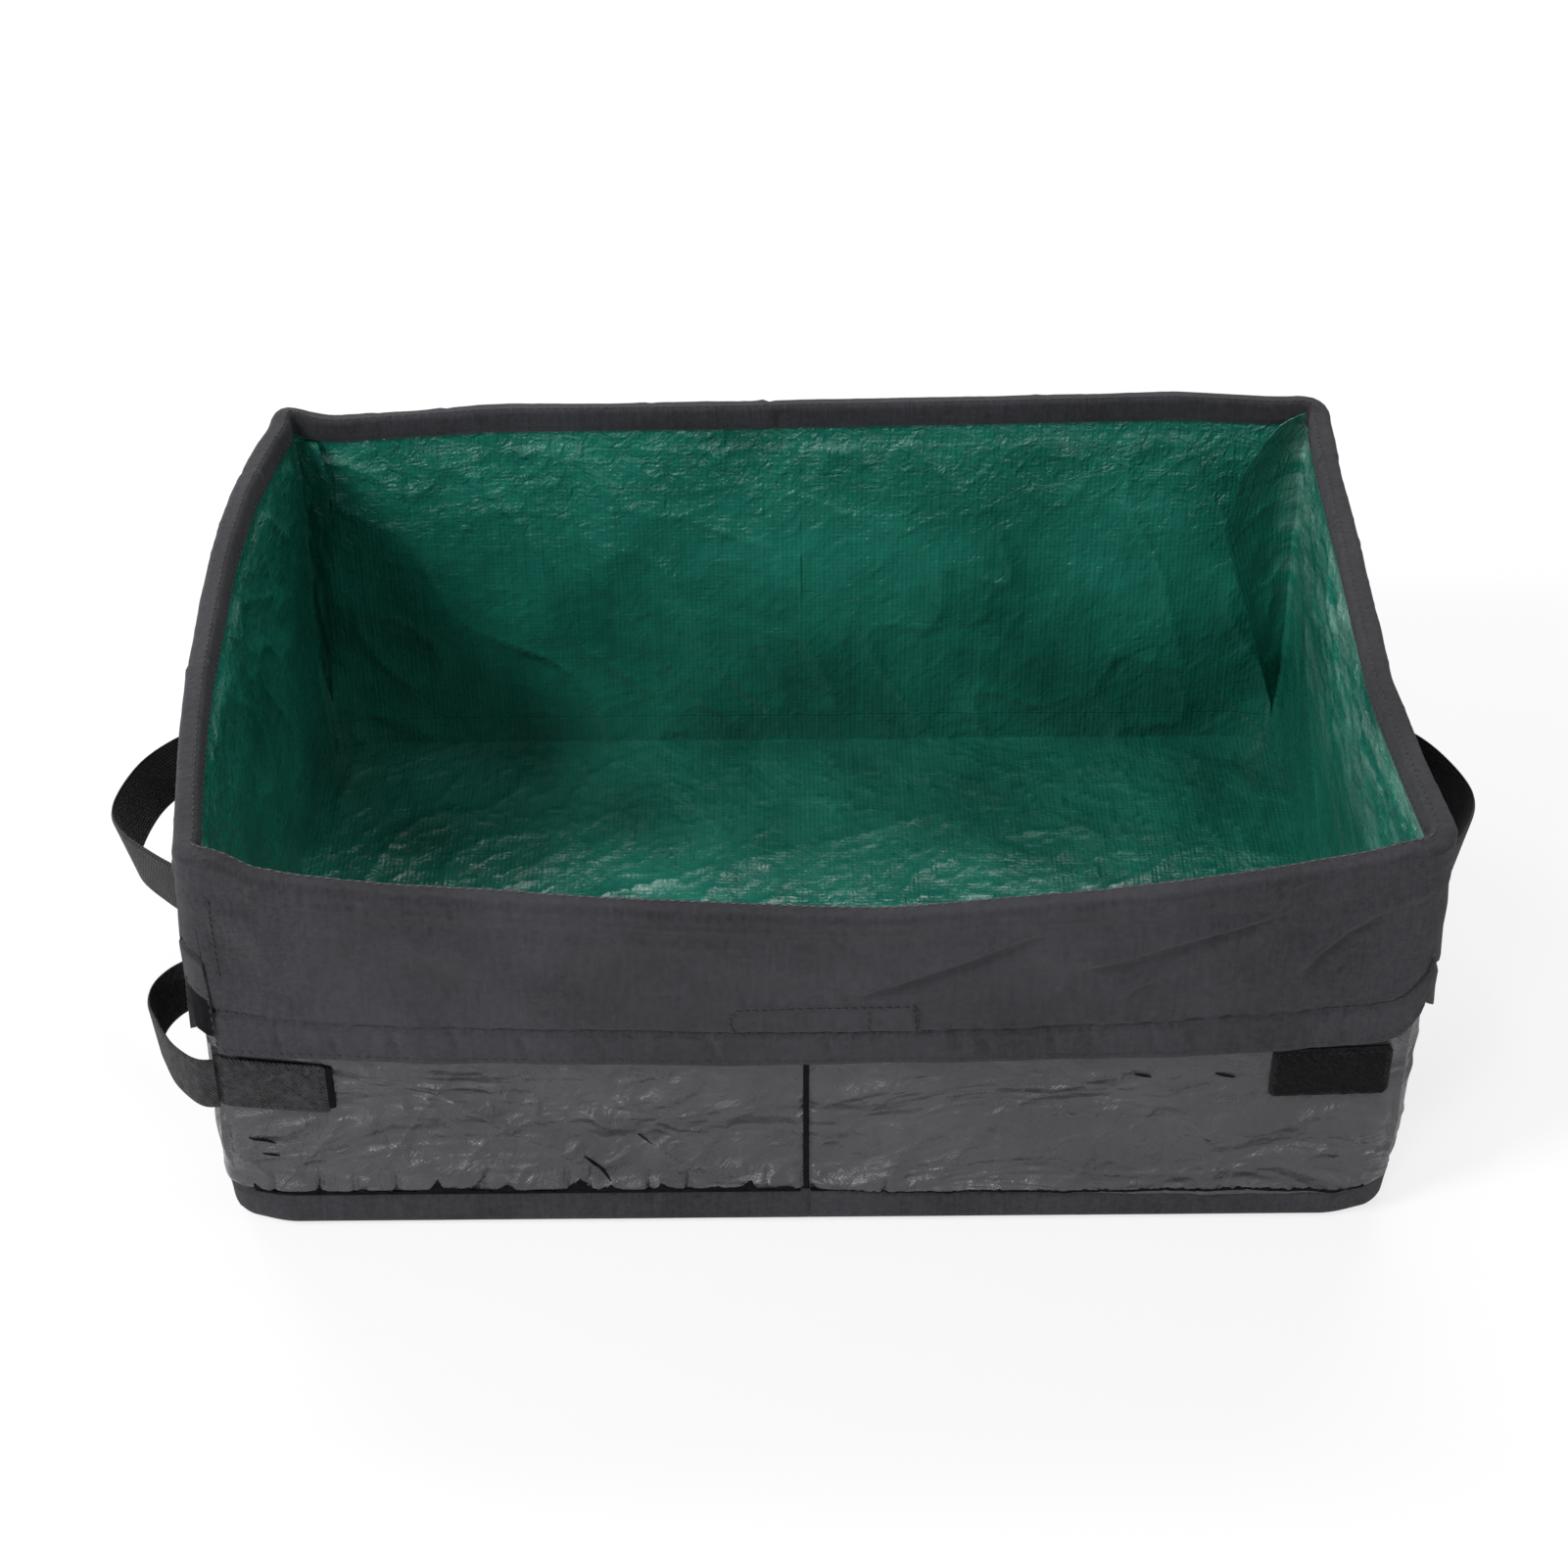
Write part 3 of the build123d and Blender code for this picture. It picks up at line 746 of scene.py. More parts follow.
# %% Relief of the film
def pressed(t, z):
    """1 where something is sewn flat on the film, 0 elsewhere."""
    total = np.zeros(np.broadcast(t, z).shape)
    handle_half = node_box("left_handle_tabs")[1][1]
    low, high = node_box("left_handle_tabs")[0][2], node_box("left_handle_tabs")[1][2]
    places = [
        (way_round("left", 0), handle_half, low, high),
        (way_round("right", 0), handle_half, low, high),
        (way_round("front", -183), 24, 54, 86),
        (way_round("front", 179.5), 23, 58, 84),
        (way_round("left", -112), 26, 54, 84),
    ]
    for middle, half, bottom, top in places:
        near = 1 - ease(np.abs(t - middle), half, half + 10)
        level = 1 - ease(np.abs(z - (bottom + top) / 2), (top - bottom) / 2, (top - bottom) / 2 + 8)
        total = np.maximum(total, near * level)
    return total


FILM_CREASES = [
    ([(-133, 72), (-121, 60), (-105, 48), (-91, 41), (-81, 34), (-75, 22)], 1.5, 3.6),
    ([(-111, 73), (-104, 62), (-95, 60), (-94, 48)], 1.4, 3.8),
    ([(-87, 67), (-70, 48), (-57, 46), (-44, 29)], 1.1, 3.0),
    ([(-76, 68), (-60, 57), (-46, 48), (-28, 42)], 1.1, 3.0),
    ([(-152, 72), (-153, 40)], 0.6, 2.6), ([(-142, 67), (-139, 49)], 0.7, 2.0),
    ([(-134, 66), (-125, 48)], 0.7, 2.2),
    ([(-205, 39), (-195, 31), (-186, 18)], 1.0, 4.0), ([(-179, 59), (-170, 39)], 0.7, 4.0),
    ([(-16, 61), (-4, 69)], 0.6, 2.2), ([(-23, 37), (-7, 38)], 0.5, 1.6),
    ([(0, 52), (8, 59), (25, 66), (37, 73)], 1.0, 4.0), ([(66, 54), (79, 61), (93, 67), (107, 76)], 0.9, 2.6),
    ([(101, 67), (123, 62), (133, 50), (142, 39), (150, 39)], 1.3, 3.6),
    ([(108, 39), (116, 48), (123, 61)], 0.9, 2.6),
    ([(118, 70), (131, 61)], 0.6, 2.0), ([(147, 42), (162, 43), (175, 51), (189, 55)], 0.8, 2.6),
    ([(153, 64), (152, 46)], 0.5, 1.8), ([(22, 22), (32, 28), (41, 32)], 0.9, 4.5),
    ([(88, 25), (98, 27), (107, 23), (129, 24)], 0.8, 2.8), ([(117, 36), (127, 27)], 0.6, 2.0),
    ([(140, 12), (145, 30), (150, 37)], 0.9, 2.4), ([(176, 14), (193, 17), (200, 28)], 0.9, 4.0),
    ([(-60, 36), (-40, 30), (-20, 26)], 0.8, 4.0), ([(-170, 30), (-150, 26), (-130, 32)], 0.7, 3.5),
]


def lip_height(t):
    """Where the film bulges over the band, which it does lower on the right half of the front."""
    return np.interp(t, [-220, -10, 30, 150, 190, 230], [19.5, 19.0, 17.0, 14.0, 15.5, 19.5])


def film_relief(t, z):
    way = np.abs(t)
    broad = gradient_noise(t / 46, z / 34, 11) * 0.7 + 0.5
    slanting = ridges(t, z, 26, 12, lean=0.75, stretch=2.6) ** 3
    crossing = ridges(t, z, 19, 15, lean=-0.6, stretch=2.2) ** 4
    fine = ridges(t, z, 9, 13, lean=-0.3, stretch=1.6) ** 2
    at_front = 1 - ease(way, LONG_HALF, LONG_HALF + ARC)
    relief = 0.2 + 0.6 * broad + (0.9 - 0.3 * at_front) * slanting
    relief = relief + (0.6 - 0.2 * at_front) * crossing + 0.15 * fine
    for points, height, width in FILM_CREASES:
        relief = relief + 1.6 * at_front * height * crease(t, z, points, width)
    relief = relief * (1 - ease(z, HINGE_Z - 30, HINGE_Z) * 0.6) * (1 - 0.94 * pressed(t, z))
    lip = lip_height(t)
    bulge = 1.7 * np.exp(-(((z - lip) / 4.5) ** 2))
    cracks = ridges(t, (z - lip) * 0.35, 23, 14, lean=0.5, stretch=0.8) ** 6
    depth = cracks * (1 - ease(z, lip - 1, lip + 11)) * 2.4
    relief = relief + bulge - depth * (1 - ease(t, 10, 40) * (1 - ease(t, LONG_HALF, LONG_HALF + ARC)) * 0.8)
    seam = np.minimum(way, HALF_RING - way)
    relief = relief * (1 - 0.9 * np.exp(-((seam / 2.5) ** 2)))
    corner = np.minimum(np.abs(way - LONG_HALF - ARC * 0.42), np.abs(way - HALF_RING + LONG_HALF + ARC * 0.42))
    piping = 0.9 * np.exp(-((corner / 0.9) ** 2)) - 0.6 * np.exp(-(((corner - 2.2) / 0.9) ** 2))
    return np.maximum(relief + piping * ease(z, 24, 34), 0.0) * ease(z, lip - 3.2, lip - 0.6)


def film_outside(t, z):
    return ring(t, z, FILM_FACE + film_relief(t, z))


def film_inside(t, z):
    return ring(t, z, FILM_BACK)


def fine_step(panel, coarse):
    """The front is seen closest, so its cloth gets a finer mesh."""
    return (1.5 if PANELS[panel][0] == "front" else coarse) * GRAIN


def make_film():
    for panel, (side, _, _) in PANELS.items():
        low = FOLD[side] if side != "rear" else BAND_TOP - 0.8
        step = fine_step(panel, 2.2)
        for suffix, start, end in spans(panel):
            ts, zs = spaced(start, end, step), spaced(low, HINGE_Z + 12, step)
            piece = shell(f"{panel}_film{suffix}", film_outside, film_inside, ts, zs, material="shell_film")
            settle(piece, panel, panel, suffix)
            if not suffix:
                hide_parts(f"{panel}_cover")
    for panel in ("left_end", "right_end"):
        side, start, end = PANELS[panel]
        ts = spaced(start - ARC / 2, end + ARC / 2, 2.2 * GRAIN)
        zs = spaced(BAND_TOP - 6, FOLD[side] - 0.1, 2.2 * GRAIN)
        piece = shell(f"base_film_{side}", film_outside, film_inside, ts, zs, material="shell_film")
        fasten(piece, f"base_{side}")
        strip = shell(
            f"riser_strip_{side}", lambda t, z: ring(t, z, BOARD_FACE), lambda t, z: ring(t, z, RISER_BACK),
            spaced(start + 2, end - 2, 10), spaced(4, FOLD[side] - 1, 6), material="stiffener",
        )
        fasten(strip, f"base_{side}", f"riser_{side}")


make_film()
print("film pieces made")

# %% [markdown]
# ## Boards
# Flat boards keep each wall stiff. They sit between the film and the liner and follow the rim's sag, so
# they never show, and yet a wall that is folded in keeps its thickness.

# %% Boards
def make_boards():
    for panel, (side, start, end) in PANELS.items():
        ts = spaced(start + 3, end - 3, 12)
        zs = spaced(FOLD[side] + 3, RIM - 4, 8)
        piece = shell(
            f"{panel}_board_sheet", lambda t, z: ring(t, z, BOARD_FACE), lambda t, z: ring(t, z, BOARD_BACK),
            ts, zs, material="stiffener",
        )
        settle(piece, panel, panel, "")
        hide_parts(f"{panel}_board")


make_boards()

# %% [markdown]
# ## Liner
# The green sheet is stiffer than the film and slides on the boards, so it crumples into flat facets with
# sharp edges. The facets are ridged noise at two sizes, with more of it just under the rim.

# %% Relief of the liner
def liner_relief(t, z):
    broad = gradient_noise(t / 60, z / 60, 31) * 0.5 + 0.5
    long_creases = ridges(t, z, 32, 32, lean=0.9, stretch=2.4) ** 3
    facets = ridges(t, z, 15, 33, lean=-0.6, stretch=1.5) ** 2
    fine = ridges(t, z, 6.5, 34, lean=0.3) ** 2
    upper = 0.5 + 0.5 * ease(z, 100, 140)
    relief = 0.5 * broad + 1.1 * long_creases + 0.45 * facets * upper + 0.12 * fine
    way = np.abs(t)
    end_wall = ease(way, LONG_HALF, LONG_HALF + ARC)
    end_wall = end_wall * (1 - ease(way, HALF_RING - LONG_HALF - ARC, HALF_RING - LONG_HALF))
    slants = ridges(t, z, 24, 35, lean=0.8, stretch=2.6) ** 2
    slants = slants + 0.3 * ridges(t, z, 13, 36, lean=1.0, stretch=2.0) ** 2
    relief = relief + 1.3 * slants * end_wall * ease(z, 70, 120)
    return relief * (1 - ease(z, HINGE_Z - 7, HINGE_Z - 1))


def liner_inside(t, z):
    return ring(t, z, LINER_FACE - liner_relief(t, z))


def liner_outside(t, z):
    return ring(t, z, LINER_BACK)


def liner_shell(name, ts, zs):
    return shell(name, liner_outside, liner_inside, ts, zs, material="green_liner")


def make_liner():
    for panel, (side, _, _) in PANELS.items():
        for suffix, start, end in spans(panel):
            ts = spaced(start, end, 1.7 * GRAIN)
            zs = spaced(FOLD[side], RIM - 6, 1.7 * GRAIN)
            piece = liner_shell(f"{panel}_lining{suffix}", ts, zs)
            settle(piece, panel, panel, suffix)
            if not suffix:
                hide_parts(f"{panel}_liner")


make_liner()
print("liner pieces made")

# %% [markdown]
# The floor has the same liner. It lies loose on its board, it turns up at the walls as far as each wall's
# fold, and it is in two halves that meet at the box's middle fold.

# %% Floor liner
FLOOR = node_box("floor_liner_left")[0][2] + 0.6


def floor_top(x, y):
    edge = np.minimum(LONG_HALF + 6.5 - np.abs(x), END_HALF + 6.5 - np.abs(y))
    calm = ease(edge, 0, 18)
    creases = 0.9 * ridges(x, y, 34, 41, lean=0.8, stretch=2.0) ** 3
    creases = creases + 0.5 * ridges(x, y, 13, 42, lean=-0.5) ** 2
    return FLOOR + 0.15 + calm * creases * (1 - np.exp(-(x / 5.0) ** 2))


def rounded_plan(x, y, corner):
    """Draws points beyond a rounded corner back onto it."""
    dx, dy = np.abs(x) - (LONG_HALF + CORNER - corner), np.abs(y) - (END_HALF + CORNER - corner)
    far = np.hypot(np.maximum(dx, 0), np.maximum(dy, 0))
    share = np.where((dx > 0) & (dy > 0), np.minimum(1, (corner - 4.2) / np.maximum(far, 1e-6)), 1.0)
    return (np.where(dx > 0, np.sign(x) * (np.abs(x) - dx * (1 - share)), x),
            np.where(dy > 0, np.sign(y) * (np.abs(y) - dy * (1 - share)), y))


def level_sheet(name, xs, ys, top, bottom, corner, material):
    """A level sheet with rounded outer corners, between two heights."""
    def front(x, y):
        px, py = rounded_plan(x, y, corner)
        return np.stack([px, py, top(x, y) if callable(top) else top + 0 * x], axis=-1)

    def back(x, y):
        px, py = rounded_plan(x, y, corner)
        return np.stack([px, py, bottom + 0 * x], axis=-1)

    return shell(name, front, back, xs, ys, material=material)


def make_floor_liner():
    step = 2.5 * GRAIN
    for side, sign in (("left", -1), ("right", 1)):
        base, board_node = f"base_{side}", f"floor_board_{side}"

        def half_floor(inner, reach, step):
            """Places from inner out to reach beyond the flat wall, and right across the floor."""
            xs = sorted((sign * inner, sign * (LONG_HALF + reach)))
            return spaced(*xs, step), spaced(-END_HALF - reach, END_HALF + reach, step)

        def upstand(name, ts, zs):
            fasten(liner_shell(name, ts, zs), base)

        xs, ys = half_floor(3.4, 5.8, 6)
        board = level_sheet(f"floor_stiffener_{side}", xs, ys, 2.95, 1.05, 20.0, "stiffener")
        fasten(board, base, board_node)
        xs, ys = half_floor(0.4, 8.2, 5)
        under = level_sheet(f"under_sheet_{side}", xs, ys, 0.95, 0.02, 20.0, "oxford_cloth")
        fasten(under, base, f"base_sheet_{side}")
        xs, ys = half_floor(0.0, 6.4, step)
        piece = level_sheet(f"floor_lining_{side}", xs, ys, floor_top, FLOOR - 0.55, 16.0, "green_liner")
        fasten(piece, base, f"floor_liner_{side}")
        end_t, reach = way_round(side, 0), END_HALF + ARC / 2
        ts = spaced(end_t - reach, end_t + reach, step)
        upstand(f"floor_upstand_{side}", ts, spaced(FLOOR, FOLD[side] - 0.2, step))
        ts = spaced(*sorted((sign * (HALF_RING - LONG_HALF - ARC / 2), sign * HALF_RING)), step)
        upstand(f"floor_upstand_rear_{side}", ts, spaced(FLOOR, FOLD["rear"] - 0.2, step))
        ts = spaced(*sorted((0.0, sign * (LONG_HALF + ARC / 2))), step)
        upstand(f"floor_upstand_front_{side}", ts, np.linspace(FLOOR, FOLD["front"] - 0.1, 3))


make_floor_liner()

# %% [markdown]
# ## Rim
# A strip of the matte cloth binds the top edge. It starts inside the box about 10 mm below the rim, goes
# over the edge in a soft round and runs on outside into the turned-down skirt. Its line is a profile: a
# short list of heights and offsets that is followed by its length.

# %% Rim profile
INNER_LEG, OUTER_LEG = -4.7, 3.8
INNER_DEPTH = 9.5
ROLL_HEIGHT = 4.2


def rim_profile():
    """Lengths, offsets and heights from the inner leg's foot, over the flat top, to the outer leg's foot."""
    inner, outer = 2.2, 2.6
    quarter = np.linspace(0, math.pi / 2, 9)
    outs = np.concatenate([[INNER_LEG], INNER_LEG + inner * (1 - np.cos(quarter)),
                           (OUTER_LEG - outer * (1 - np.cos(quarter)))[::-1], [OUTER_LEG]])
    top = RIM - 0.5
    heights = np.concatenate([[RIM - INNER_DEPTH], RIM - inner + inner * np.sin(quarter),
                              (top - outer + outer * np.sin(quarter))[::-1], [HINGE_Z]])
    length = np.concatenate([[0], np.cumsum(np.hypot(np.diff(outs), np.diff(heights)))])
    return length, outs, heights


RIM_LENGTH, RIM_OUTS, RIM_HEIGHTS = rim_profile()


RIM_PINCHES = [
    ("rear", -170, 0.8), ("rear", -142, 0.6), ("rear", -60, 0.5), ("rear", -12, 1.5), ("rear", 98, 0.6),
    ("left", 96, 0.7), ("left", -30, 0.6), ("right", 100, 0.7), ("right", 40, 0.5), ("front", -150, 0.4),
]


def rim_relief(t, way):
    soft = gradient_noise(t / 40, way / 14, 51) * 0.5 + gradient_noise(t / 13, way / 7, 53) * 0.16
    fine = ridges(t, way * 1.6, 8, 52) ** 3 * 0.16
    pinch = np.zeros(np.broadcast(t, way).shape)
    for side, place, depth in RIM_PINCHES:
        nearest = t - way_round(side, place) + 0.25 * (way - 14)
        swell = 0.7 * np.exp(-(((nearest - 2.5) / 2.2) ** 2))
        pinch = pinch + depth * (swell - np.exp(-((nearest / 1.2) ** 2)))
    return soft + fine + pinch * 0.7


def rim_surface(t, way):
    """way is the length along the profile, from the outer leg's foot up and over to the inside."""
    place = RIM_LENGTH[-1] - way
    out, height = np.interp(place, RIM_LENGTH, RIM_OUTS), np.interp(place, RIM_LENGTH, RIM_HEIGHTS)
    ends = ease(way, 0, 4) * (1 - ease(way, RIM_LENGTH[-1] - 3, RIM_LENGTH[-1]))
    lift = rim_relief(t, way) * ends
    uneven = 0.4 + 0.6 * np.abs(gradient_noise(t / 60, 0 * t, 54))
    lift = lift + 0.5 * np.exp(-(((way - 5.0) / 1.6) ** 2)) * uneven
    centre = (INNER_LEG + OUTER_LEG) / 2
    return ring(t, height + lift * 0.5 * np.clip((height - RIM + ROLL_HEIGHT) / ROLL_HEIGHT, 0, 1),
                out + lift * np.clip((out - centre) / 4, -1, 1))


def make_rim():
    for panel in PANELS:
        for suffix, start, end in spans(panel):
            ts = spaced(start, end, 2.5 * GRAIN)
            ways = spaced(0, RIM_LENGTH[-1], 1.3 * GRAIN)
            piece = shell(
                f"{panel}_rim{suffix}", rim_surface, lifted(rim_surface, -0.9, 0.5, 0.4), ts, ways,
                steps=(0.5, 0.4), material="oxford_cloth",
            )
            settle(piece, panel, panel, suffix)
            if not suffix:
                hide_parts(f"{panel}_binding")


make_rim()
print("rim pieces made, profile", round(float(RIM_LENGTH[-1]), 1))

# %% [markdown]
# ## Skirt
# The skirt hangs from the rim down the outside. Its hem is folded up and stitched, so the cloth is
# thicker there and the row of stitches puckers it. Above the hem it is pulled towards the corners, which
# gives long slanting folds on the right half of the front.

# %% Skirt
MOUTH = (-210.5, -201.5)  # the hem's tunnel is open at the front left corner, between these places
EDGE_KEYS = np.array([
    (-209, 88.6), (-203, 86.6), (-175, 84.6), (-142, 83.6), (-89, 82), (-42, 81.5), (-4, 81.5), (58, 81.8),
    (125, 83.3), (175, 85.9), (195, 87.5), (200, 90.0), (204, 96.0), (208, 102.0),
])


def skirt_edge(t):
    """Height of the skirt's lower edge."""
    way = np.abs(t)
    front = np.interp(t, EDGE_KEYS[:, 0], EDGE_KEYS[:, 1])
    end_place = way - LONG_HALF - ARC - END_HALF
    end = EDGE_END + 1.5 + end_place**2 / (2 * EDGE_RADIUS)
    from_front = way - LONG_HALF - ARC / 2
    rise_right = 15.0 * np.exp(-np.maximum(from_front, 0) / 7.0)
    rise_left = 1.5 * np.exp(-((from_front - 6) / 4.0) ** 2)
    end = end + np.where(t > 0, rise_right, rise_left)
    rear_place = HALF_RING - way
    rear = EDGE_MIDDLE + 1.5 + rear_place**2 / (2 * EDGE_RADIUS)
    behind = np.where(way < HALF_RING - LONG_HALF - ARC / 2, end, rear)
    edge = np.where(way < LONG_HALF + ARC / 2, front, behind)
    edge = edge + 0.5 * gradient_noise(t / 28, 0.5 + 0 * t, 61)
    mouth = ease(t, MOUTH[0] - 0.3, MOUTH[0] + 0.3) * (1 - ease(t, MOUTH[1] - 0.3, MOUTH[1] + 0.3))
    top = 109 + 0.5 * (MOUTH[1] - t)
    return edge + mouth * np.maximum(top - edge, 0)


SKIRT_FOLDS = [
    ([(14, 119), (24, 125), (40, 133), (56, 141), (72, 150), (87, 157), (100, 160)], 1.6, 5.5),
    ([(89, 130), (105, 134), (120, 140), (136, 145), (152, 150), (167, 156), (174, 160)], 1.5, 5.0),
    ([(143, 153), (151, 160), (166, 167), (178, 170)], 1.1, 4.0),
    ([(163, 118), (168, 128), (178, 139), (193, 147)], 1.1, 4.5),
    ([(174, 115), (177, 124), (180, 135)], 0.9, 3.5),
    ([(103, 111), (110, 120), (118, 125)], 0.7, 3.5), ([(135, 111), (144, 122)], 0.7, 3.5),
    ([(197, 143), (206, 154)], 0.9, 4.0), ([(177, 156), (185, 166)], 0.9, 4.0),
    ([(-8, 128), (-2, 132), (2, 141)], 0.6, 5.0),
]
SKIRT_SWELLS = [
    ([(-196, 156), (-185, 143), (-174, 128)], 0.9, 9.0), ([(-124, 148), (-109, 131), (-87, 114)], 0.8, 10.0),
]
HEM_PUCKERS = [52, 61, 70, 84, 97, 118, 131, 146, 158, 171, 183, -70, -96, -118, -139, -160, -178, 8, -32]


def skirt_relief(t, z, above):
    """above is the height over the lower edge."""
    way = np.abs(t)
    at_front = 1 - ease(way, LONG_HALF, LONG_HALF + ARC)
    hem = 1 - ease(above, 15.8, 17.6)
    groove = -(1.3 + 0.6 * gradient_noise(t / 7, 0 * t, 68)) * np.exp(-(((above - 17.3) / 1.3) ** 2))
    puckered = 0.35 + 0.65 * ease(t, -60, 40)
    pucker = np.exp(-(((above - 16) / 8.0) ** 2)) * (ridges(t, above * 0.5, 9, 62) ** 2 * 0.6 - 0.2) * puckered
    soft = gradient_noise(t / 52, z / 40, 64) * 0.8 + gradient_noise(t / 21, z / 17, 67) * 0.28
    slanting = gradient_noise((t * 0.85 + z * 0.5) / 60, (z * 0.85 - t * 0.5) / 13, 63)
    pull = slanting * (0.25 + 0.45 * ease(t, 0, 80))
    wave = 0.9 * gradient_noise(t / 30, 0 * t, 66) * (1 - ease(above, 0, 26))
    relief = 0.6 * hem + groove + pucker + soft + pull + wave + 0.4
    for points, depth, width in SKIRT_FOLDS:
        relief = relief - 1.3 * at_front * depth * crease(t, z, points, width * 0.5, False)
        above_line = [(a - 0.25 * width, b + 0.8 * width) for a, b in points]
        relief = relief + at_front * depth * 1.7 * crease(t, z, above_line, width * 0.9, False)
    for points, height, width in SKIRT_SWELLS:
        relief = relief + 1.8 * at_front * height * crease(t, z, points, width, False)
    for place in HEM_PUCKERS:
        line = [(place, EDGE_MIDDLE + 6), (place - 2.5, EDGE_MIDDLE + 22)]
        relief = relief - at_front * crease(t, z, line, 1.6, False)
    tunnel = (1 - ease(np.abs(t - 6), 31, 33)) * (1 - ease(np.abs(above - 26), 8, 9.5))
    relief = relief + 0.4 * tunnel
    return relief * (1 - ease(z, HINGE_Z - 6, HINGE_Z))


def skirt_gape(t, above):
    """The hem's tunnel is open at the front left corner, so the cloth draws back from the seam there."""
    corner = -(LONG_HALF + ARC / 2)
    drawn = 1 - ease(above, 6, 30)
    front_side = np.where(t >= corner, 1.0, 0.0) * np.clip(1 - (t - corner) / 14, 0, 1)
    end_side = np.where(t < corner, 1.0, 0.0) * np.clip(1 - (corner - t) / 10, 0, 1)
    return drawn * (1.5 * front_side - 1.0 * end_side)


def skirt_point(t, share, thickness=0.0):
    edge = skirt_edge(t)
    z = edge + share * (HINGE_Z - edge)
    above = z - edge
    relief = np.maximum(skirt_relief(t, z, above), -1.0)
    return ring(t + skirt_gape(t, above), z, OUTER_LEG + relief - thickness)


def skirt_outside(t, share):
    return skirt_point(t, share)


def skirt_inside(t, share):
    edge = skirt_edge(t)
    above = share * (HINGE_Z - edge)
    return skirt_point(t, share, 1.1 + 0.9 * (1 - ease(above, 15.5, 19)))


def skirt_height(side):
    return HINGE_Z - (EDGE_END if side in ("left", "right") else EDGE_MIDDLE)


def make_skirt():
    for panel, (side, _, _) in PANELS.items():
        height = skirt_height(side)
        for suffix, start, end in spans(panel):
            step = fine_step(panel, 2.0)
            extra = [place + shift for place in MOUTH for shift in (-0.3, 0.3) if start < place + shift < end]
            ts = np.unique(np.concatenate([spaced(start, end, step), extra]))
            shares = spaced(0, height, step) / height
            piece = shell(
                f"{panel}_skirt_cloth{suffix}", skirt_outside, skirt_inside, ts, shares,
                steps=(0.5, 0.5 / height), chart=lambda t, share: (t, share * height), material="oxford_cloth",
            )
            settle(piece, panel, f"{panel}_skirt", suffix)
            if not suffix:
                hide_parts(f"{panel}_cuff")
        if side in ("front", "rear"):
            low, high = node_box(f"{panel}_cuff_strip")
            ends = sorted(way_round(side, x) for x in (low[0], high[0]))
            strip = shell(
                f"{panel}_skirt_strip", lambda t, z: ring(t, z, 2.0), lambda t, z: ring(t, z, 1.3),
                spaced(*ends, 2.0), spaced(low[2], high[2], 2.0), material="hook_tape",
            )
            settle(strip, panel, f"{panel}_skirt", "")
            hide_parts(f"{panel}_cuff_strip")


make_skirt()

# %% Tucks behind the front rim
TUCK_FOOT, TUCK_TOP = 150.0, 154.5  # the second one is the height of the skirt's fold line
TUCK_FACE, TUCK_BACK = 2.9, 2.2


def make_tucks():
    """Behind the sagging front rim the skirt runs on up to its fold line, so no gap opens as it turns up."""
    for panel in ("front_left", "front_right"):
        for suffix, start, end in spans(panel):
            def tuck(t, share, out):
                high = TUCK_TOP + 0 * t
                for _ in range(5):
                    high = high + TUCK_TOP - ring(t, high, out)[..., 2]
                return ring(t, TUCK_FOOT + share * (high - TUCK_FOOT), out)

            piece = shell(
                f"{panel}_skirt_tuck{suffix}", lambda t, share: tuck(t, share, TUCK_FACE),
                lambda t, share: tuck(t, share, TUCK_BACK), spaced(start, end, 3), np.linspace(0, 1, 6),
                steps=(0.5, 0.05), chart=lambda t, share: (t, TUCK_FOOT + 12 * share), material="oxford_cloth",
            )
            settle(piece, panel, f"{panel}_skirt", suffix)


make_tucks()
print("skirt pieces made")

# %% [markdown]
# ## Base band
# The same matte cloth runs round the foot of the walls as a band. Its lower edge turns in under the
# floor, so its corner with the ground is soft.

# %% Base band
def band_surface(t, way):
    """way goes from 0 under the floor to 1 at the band's upper edge."""
    angle = np.clip(way / 0.35, 0, 1) * math.pi / 2
    upright = 4.25 + (way - 0.35) / 0.65 * (BAND_TOP - 4.05)
    height = np.where(way < 0.35, 0.25 + 4.0 * (1 - np.cos(angle)), upright)
    out = np.where(way < 0.35, -2.4 + 4.0 * np.sin(angle), 1.6)
    soft = 0.4 * gradient_noise(t / 38, way * 1.5, 71) + 0.3 * ridges(t, way * 12, 8, 72) ** 2
    crease_depth = -1.1 * np.exp(-(((t - 1.0) / 1.6) ** 2))
    top = 0.9 * ease(way, 0.8, 1)
    relief = (soft + crease_depth) * ease(way, 0.15, 0.4) * (1 - 0.6 * ease(way, 0.8, 1))
    return ring(t, height, out - top + relief)


def make_band():
    for side, sign in (("left", -1), ("right", 1)):
        low, high = sorted((sign * 0.04, sign * (HALF_RING - 0.04)))
        piece = shell(
            f"foot_band_{side}", band_surface, lifted(band_surface, -0.9, 0.5, 0.03),
            spaced(low, high, 2.2 * GRAIN), spaced(0, 1, 0.05), steps=(0.5, 0.02),
            chart=lambda t, way: (t, way * 18), material="oxford_cloth",
        )
        fasten(piece, f"base_{side}", f"base_band_{side}")


make_band()
print("base band made")

# %% [markdown]
# ## Webbing
# A strap is a flat ribbon that follows a smooth line through a few points. Its width stands upright and
# may lean, so each point also says how far the lower edge is moved. The loops were drawn after their
# outlines in the photograph: the line of the left one is 165 mm long and that of the right one 150 mm,
# though on a real box both would be cut alike.

